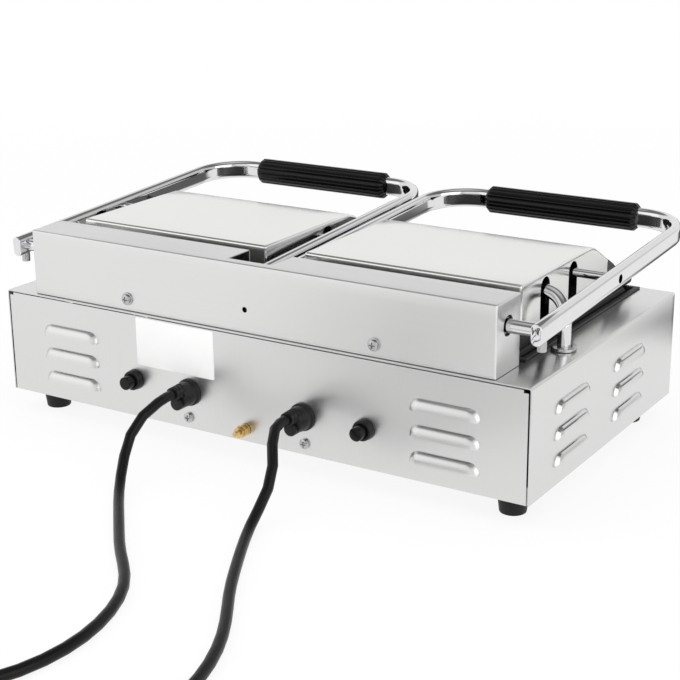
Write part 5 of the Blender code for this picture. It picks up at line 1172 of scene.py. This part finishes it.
top, low = CLAMP_TOP, CLAMP_LOW
CLAMP_LINE = [(0, top), (0.004, top), (0.004, low), (0.002, low), (0.002, low + 0.003), (0, low + 0.003)]
for name, side in SIDES.items():
    make_grip(name, side)
    spot = (side * OUTER_ARM_X, SHAFT_Y, 0)
    screw = lathe(f"clamp_screw_{name}", CLAMP_LINE, 0.0006, spot, bright, "Z", 32, 3)
    fit(screw, f"handle_{name}", "chromed_steel", f"set_screw_{name}")
    ends = [side * reach for reach in ROD_REACH]
    rod = round_bar(f"rod_bar_{name}", ROD_RADIUS, ends, ROD_Y, arm_height(ROD_Y), rod_chrome, 32)
    fit(rod, f"handle_{name}", "chromed_steel", f"suspension_rod_{name}")


# Lid covers.
# Stainless sheet folded over each upper casting, with a sloping front. Slots with round tops in its sides
# let the suspension rod and the conduit through.

LID_TOP = 0.188
LID_LOW = 0.1448
LID_BEND = 0.0026
LID_FRONT_Y = -0.0807
LID_REAR_Y = 0.105
SLOT_RADIUS = 0.00925
SLOT_TOP = 0.1842
CONDUIT_LID_Y = 0.0575
lid_steel = steel("lid_stainless", (0.84, 0.84, 0.83), 0.20, (700, 4, 700))
SLOPE_START_Y = -0.040
SLOPE_LENGTH = 0.041
SLOPE_DROP = 0.020
SLOPE = ((0.0, 0.0), (0.14, 0.075), (0.34, 0.235), (0.66, 0.60), (1.0, 1.0))


def lid_height(y):
    """Height of the lid's top over the depth: level, then falling in a shallow curve to the nose."""
    return LID_TOP - SLOPE_DROP * np.interp((SLOPE_START_Y - y) / SLOPE_LENGTH, *np.array(SLOPE).T)


def make_cover(name, side):
    """Walls carried round three sides and rolled over into the top: each wall runs from its lower edge, or
    from the arch of a slot, to top(y) - r, then the offset is r cos a and the height top(y) - r + r sin
    a."""
    r = LID_BEND
    low_x, high_x = sorted((side * PLATE_X[0], side * PLATE_X[1]))
    arch = np.sin(np.linspace(-np.pi / 2, np.pi / 2, 13)) * SLOT_RADIUS
    lines = [LID_FRONT_Y, LID_REAR_Y - r, SLOPE_START_Y, -0.0538, -0.0671, -0.045, 0.08]
    y = np.unique(np.round(np.concatenate([ROD_Y + arch, CONDUIT_LID_Y + arch, lines]), 7))
    x = np.linspace(low_x + r, high_x - r, 8)
    sides = [
        (plan_line(x[-1], y), (1, 0)),
        (plan_line(x[::-1], y[-1]), (0, 1)),
        (plan_line(x[0], y[::-1]), (-1, 0)),
    ]
    base, outward = walls_round(sides, 4)
    rim = lid_height(base[:, 1]) - r
    arch_low = SLOT_TOP - SLOT_RADIUS
    flat_band = LID_LOW + (arch_low - LID_LOW) / (LID_TOP - r - LID_LOW) * (rim - LID_LOW)
    band = flat_band
    edge = np.zeros(len(base) - 1, bool)
    for direction, spot in ((1, ROD_Y), (-1, ROD_Y), (side, CONDUIT_LID_Y)):
        on = (outward[:, 0] == direction) & (np.abs(base[:, 1] - spot) < SLOT_RADIUS + 1e-6)
        rise = np.sqrt(np.maximum(0, SLOT_RADIUS**2 - (base[:, 1] - spot) ** 2))
        band = np.where(on, arch_low + rise, band)
        edge |= on[:-1] & on[1:]
    share = np.linspace(0, 1, 4)[:, None]
    turn = np.linspace(0, np.pi / 2, 6)[:, None]
    lower = raised(base, outward, r, LID_LOW + share * (flat_band - LID_LOW))
    upper = raised(base, outward, r, band + share * (rim - band))
    roll = raised(base, outward, r * np.cos(turn), rim + r * np.sin(turn))
    mask = np.repeat(edge[None], 3, axis=0)
    deck = level_grid(x, y, lid_height(y)[:, None, None])
    made = surface(f"lid_shell_{name}", [(lower, mask), upper, roll, deck], lid_steel, closed=False)
    fit(finish_sheet(made, edge=0.0002), f"lid_{name}", "stainless", f"lid_cover_{name}")


for name, side in SIDES.items():
    make_cover(name, side)


# Upper cooking plates.
# Cast iron, ribbed below to match the lower plates. The front of the casting curls up into the lid's nose,
# and two cast lugs stand on its back for the suspension rod.

LID_BOTTOM = 0.1296
LID_DECK = 0.1445
NOSE_TOP = (-0.081, 0.168)
NOSE_LOW = (-0.144, 0.137)
NOSE_CURVE = ((0, 0), (0.24, 0.27), (0.43, 0.55), (0.60, 0.81), (0.71, 0.94), (1, 1))
GROOVE_FRONT_Y = -0.1330
CASTING_ROUND = 0.0012
LUG_RADIUS = 0.0085
LUG_FOOT = 0.015
LUG_SETBACK = 0.024


def make_upper(name, side):
    """The side view carried across the lid: point = (x, y, z + groove(x)) where it is part of the ribbed
    underside, and drawn in by a small round at both ends."""
    low_x, high_x = sorted((side * PLATE_X[0], side * PLATE_X[1]))
    nose = np.array(NOSE_TOP) + np.array(NOSE_CURVE) * (np.array(NOSE_LOW) - NOSE_TOP)
    front, rear = NOSE_TOP[0], PLATE_Y[1]
    outline = [(rear, LID_BOTTOM), (rear, LID_DECK), (front + 0.003, LID_DECK), (front, LID_DECK + 0.003)]
    ring = eased([*outline, *nose, (NOSE_LOW[0], LID_BOTTOM)], 0.0035, 5, True)
    valley = [(GROOVE_FRONT_Y - 0.0005, LID_BOTTOM), (GROOVE_FRONT_Y, LID_BOTTOM), (0.1, LID_BOTTOM)]
    ring = np.concatenate([ring, valley, ring[:1]])
    grooved = (ring[:, 1] < LID_BOTTOM + 0.0004) & (ring[:, 0] > GROOVE_FRONT_Y - 0.0002)
    groove_x, share = rib_lines(low_x + RIB_PITCH / 2, high_x - RIB_PITCH / 2)
    turn = np.linspace(0, np.pi / 2, 4)
    ease, inset = CASTING_ROUND * np.sin(turn), CASTING_ROUND * (1 - np.cos(turn))
    x = np.concatenate([low_x + CASTING_ROUND - ease[::-1], groove_x, high_x - CASTING_ROUND + ease])
    share = np.concatenate([np.zeros(4), share, np.zeros(4)])
    shrink = np.concatenate([inset[::-1], np.zeros(len(groove_x)), inset])
    middle = np.array([(ring[:, 0].max() + ring[:, 0].min()) / 2, (LID_BOTTOM + LID_DECK) / 2])
    grid = np.empty((len(x), len(ring), 3))
    grid[..., 0] = x[:, None]
    grid[..., 1:] = ring + shrink[:, None, None] * np.sign(middle - ring)
    grid[..., 2] += RIB_HEIGHT * share[:, None] * grooved
    patches = capped(grid)
    rod_z = arm_height(ROD_Y)
    angle = np.linspace(0, np.pi, 13)
    head = np.column_stack([ROD_Y + LUG_RADIUS * np.cos(angle), rod_z + LUG_RADIUS * np.sin(angle)])
    feet = [(ROD_Y + LUG_FOOT, LID_DECK - 0.002), (ROD_Y - LUG_FOOT, LID_DECK - 0.002)]
    lug = np.concatenate([feet[:1], head, feet[1:], feet[:1]])
    centre = np.array([ROD_Y, rod_z - 0.01])
    for spot in (PLATE_X[0] + LUG_SETBACK, PLATE_X[1] - LUG_SETBACK):
        body = np.empty((4, len(lug), 3))
        body[..., 0] = (side * spot + np.array([-0.004, -0.0034, 0.0034, 0.004]))[:, None]
        body[..., 1:] = centre + (lug - centre) * np.array([0.96, 1, 1, 0.96])[:, None, None]
        patches += capped(body)
    made = surface(f"ribbed_casting_{name}", patches, iron_up)
    fit(made, f"lid_{name}", "cast_iron_upper", f"upper_plate_{name}")


for name, side in SIDES.items():
    make_upper(name, side)


# Conduits.
# Bright metal tube 12 mm thick for the heater wires, out of each lid's side and down through a bush in the
# base top.

CONDUIT_RADIUS = 0.006
CONDUIT_X = 0.265
CONDUIT_BASE_Y = 0.069
CONDUIT_Z = 0.172
CONDUIT_LOW_Z = 0.1003
CONDUIT_INSIDE = (0.018, 0.008)
BUSH_LINE = [(0.0062, 0.0035), (0.0115, 0.0035), (0.0115, 0.0002), (0.0085, 0.0002), (0.0085, -0.006),
             (0.0062, -0.006), (0.0062, 0.0035)]

for name, side in SIDES.items():
    turn = np.linspace(0, np.pi / 2, 25)
    start, across = PLATE_X[1], CONDUIT_X - PLATE_X[1]
    y = CONDUIT_LID_Y + (CONDUIT_BASE_Y - CONDUIT_LID_Y) * (1 - np.cos(turn))
    bend = np.column_stack([start + across * np.sin(turn), y, CONDUIT_Z - across * (1 - np.cos(turn))])
    inner = [(start - inside, CONDUIT_LID_Y, CONDUIT_Z) for inside in CONDUIT_INSIDE]
    drop = [(CONDUIT_X, CONDUIT_BASE_Y, z) for z in np.linspace(bend[-1, 2], CONDUIT_LOW_Z, 9)[1:]]
    path = np.concatenate([inner, bend, drop]) * np.array([side, 1, 1])
    pipe = tube(f"wire_tube_{name}", path, CONDUIT_RADIUS, chrome, 32, (0, 1, 0))
    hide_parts(f"conduit_{name}")
    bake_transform(pipe)
    spot = (side * CONDUIT_X, CONDUIT_BASE_Y, BASE_TOP)
    ring = lathe(f"tube_bush_{name}", BUSH_LINE, 0.0009, spot, bright, steps=3)
    fit(ring, "base", "chromed_steel", f"conduit_bush_{name}")


# Cable glands.
# Black moulded strain relief: a flange, a tapered body, the collar that the lead leaves and the clamp lobe
# below.

gland_black = rubber("gland_plastic", (0.013, 0.013, 0.014), 0.30, 800, 0.0002)
GLAND_X = 0.063
FLANGE_Z = 0.0585
COLLAR_Z = 0.064
LOBE_Z = 0.053
FLANGE_LINE = [(0, 0.018), (0.0098, 0.018), (0.0115, 0.009), (0.0115, 0.003), (0.013, 0.003), (0.013, 0.0001),
               (0, 0.0001)]
LOBE_LINE = [(0, 0.003), (0.0063, 0.003), (0.0063, 0.022), (0, 0.022)]
COLLAR_ENDS = (0.014, 0.0262)
COLLAR_RADIUS = 0.0064
COLLAR_TAPER = 0.0004 / 0.012
COLLAR_RIB = 0.0005
COLLAR_PITCH = 0.0042

travel = np.linspace(*COLLAR_ENDS, 28)
way = travel - COLLAR_ENDS[0]
wave = COLLAR_RADIUS - COLLAR_TAPER * way + COLLAR_RIB * np.cos(way / COLLAR_PITCH * 2 * np.pi)
collar = np.concatenate([[(0, COLLAR_ENDS[0])], np.column_stack([wave, travel]), [(0, COLLAR_ENDS[1])]])
gland = ((eased(FLANGE_LINE, 0.0011), FLANGE_Z), (collar, COLLAR_Z), (eased(LOBE_LINE, 0.0016), LOBE_Z))
for name, side in SIDES.items():
    patches = [turned(line, (side * GLAND_X, REAR_Y, z), "Y") for line, z in gland]
    made = surface(f"strain_relief_{name}", patches, gland_black)
    fit(made, "base", "black_plastic", f"cable_gland_{name}")


# Thermal reset switches.
# A black moulded collar on the panel, and the cap in it that is pressed to reset the cut-out.

RESET_X = 0.1275
RESET_Z = 0.0595
RESET_LINE = [(0, -0.0085), (0.0066, -0.0085), (0.0066, 0.0068), (0.0092, 0.0068), (0.010, 0.0003),
              (0.008, 0.0003), (0.008, -0.02), (0, -0.02)]
CAP_LINE = [(0, 0.0165), (0.0063, 0.0165), (0.0063, 0.0035), (0.0058, 0.0030), (0.0058, -0.004), (0, -0.004)]

for name, side in SIDES.items():
    spot = (side * RESET_X, REAR_Y, RESET_Z)
    collar = lathe(f"reset_collar_{name}", RESET_LINE, 0.0008, spot, gland_black, "Y", steps=3)
    fit(collar, "base", "black_plastic", f"reset_switch_{name}")
    cap = lathe(f"reset_cap_{name}", CAP_LINE, 0.0012, spot, grip_black, "Y")
    fit(cap, f"reset_button_{name}", "black_plastic", f"reset_button_{name}")


# Bonding stud.
# A brass threaded stud through the panel with two hexagon nuts and their washers.

brass = steel("stud_brass", (0.72, 0.52, 0.22), 0.24, (300, 300, 300), 0.00002)
STUD_Z = 0.034
THREAD_RADIUS = 0.00235
THREAD_DEPTH = 0.00022
THREAD_PITCH = 0.0008
THREAD_ENDS = (-0.004, 0.0176)
BOLT_TIP = [(0.0017, 0.018), (0, 0.018)]
NUT_PLACES = (0.0013, 0.0075)
NUT_HEIGHT = 0.004
NUT_ACROSS = 0.0046
WASHER_LINE = [(0, 0), (0.0058, 0), (0.0058, 0.0010), (0, 0.0010)]


def hexagon(start, length, across):
    """A nut's faces with chamfered corners: the radius at angle a is the flat's, across /
    cos(a from the flat), and no more than the chamfer's at either end."""
    angle = np.linspace(0, 2 * np.pi, 73)
    from_flat = (angle + np.pi / 6) % (np.pi / 3) - np.pi / 6
    flat = across / np.cos(from_flat)
    caps = across * np.array([0, 1.02, 1.09, 1.16, 1.16, 1.09, 1.02, 0])
    rise = start + length * np.array([0, 0, 0.06, 0.16, 0.84, 0.94, 1, 1])
    radius = np.minimum(flat[None, :], caps[:, None])
    y = np.broadcast_to(REAR_Y + rise[:, None], radius.shape)
    return np.stack([radius * np.cos(angle), y, STUD_Z + radius * np.sin(angle)], axis=-1)


travel = np.linspace(*THREAD_ENDS, 218)
thread = THREAD_RADIUS + THREAD_DEPTH * np.cos(travel / THREAD_PITCH * 2 * np.pi)
bolt = np.concatenate([[(0, THREAD_ENDS[0])], np.column_stack([thread, travel]), BOLT_TIP])
stud = [turned(bolt, (0, REAR_Y, STUD_Z), "Y", 24)]
for start in NUT_PLACES:
    stud.append(hexagon(start + 0.0003, NUT_HEIGHT, NUT_ACROSS))
    stud.append(turned(eased(WASHER_LINE, 0.0002, 2), (0, REAR_Y + start - 0.0007, STUD_Z), "Y"))
fit(surface("bonding_bolt", stud, brass), "base", "brass", "earth_stud")


# Controls at the front.
# A black knob with a bar grip on each thermostat's spindle, and an amber lamp beside it.

KNOB_Z = 0.052
KNOB_X = 0.140
LAMP_X = 0.095
KNOB_LINE = [(0, 0.020), (0.0125, 0.020), (0.0125, 0.0062), (0.017, 0.0034), (0.017, 0.0008),
             (0.0034, 0.0008), (0.0034, 0.018), (0, 0.018)]
BAR_PLAN = (0.005, 0.0225)
LENS_LINE = [(0, 0.005), (0.0038, 0.0042), (0.004, 0.0022), (0.0055, 0.0022), (0.0055, 0.0001), (0, 0.0001)]
lamp_amber = enamel("lamp_amber", (0.95, 0.36, 0.03), (0.75, 0.22, 0.01), 0.12, 120)
amber_shader = lamp_amber.node_tree.nodes["Principled BSDF"]
amber_shader.inputs["Transmission Weight"].default_value = 0.35
amber_shader.inputs["Coat Weight"].default_value = 0.5
knob_black = rubber("knob_plastic", (0.006, 0.006, 0.006), 0.28, 700, 0.0001)

for name, side in SIDES.items():
    spot = (side * KNOB_X, FRONT_Y, KNOB_Z)
    knob = turned(eased(KNOB_LINE, 0.0012), spot, "-Y", 72)
    bar = pillow(rounded_plan(*BAR_PLAN, 0.0022, 4), 0.018, 0.0225, 0.0008, 3)
    lay = np.array([[1, 0, 0], [0, 0, 1], [0, -1, 0]])
    patches = [knob, *(patch @ lay + np.array(spot) for patch in bar)]
    fit(surface(f"control_knob_{name}", patches, knob_black), f"knob_{name}", "black_plastic", f"knob_{name}")
    spot = (side * LAMP_X, FRONT_Y, KNOB_Z)
    lens = lathe(f"amber_lamp_{name}", LENS_LINE, 0.0006, spot, lamp_amber, "-Y", steps=3)
    fit(lens, "base", "lamp_lens", f"indicator_lamp_{name}")


# Pieces kept from the solids.
# The tray, bottom plate, hinge brackets, springs, heaters and thermostats have their real shape in the
# solids, and only take their finishes here.

spring_steel = steel("spring_blued", (0.35, 0.36, 0.38), 0.3, (300, 300, 300))
sheath = steel("heater_sheath_grey", (0.30, 0.28, 0.26), 0.5, (120, 120, 120), 0.0001)
tray_steel = steel("tray_stainless", (0.72, 0.72, 0.715), 0.26, (4, 700, 700), 0.00001)
KEPT = {"grease_tray": tray_steel, "bottom_plate": plated}
PAIRS = {
    "hinge_bracket": plated,
    "thermostat": plated,
    "balance_spring": spring_steel,
    "lower_heater": sheath,
    "upper_heater": sheath,
}
KEPT.update({f"{kind}_{name}": finish for kind, finish in PAIRS.items() for name in SIDES})
for node, finish in KEPT.items():
    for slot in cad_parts[node].material_slots:
        slot.material = finish
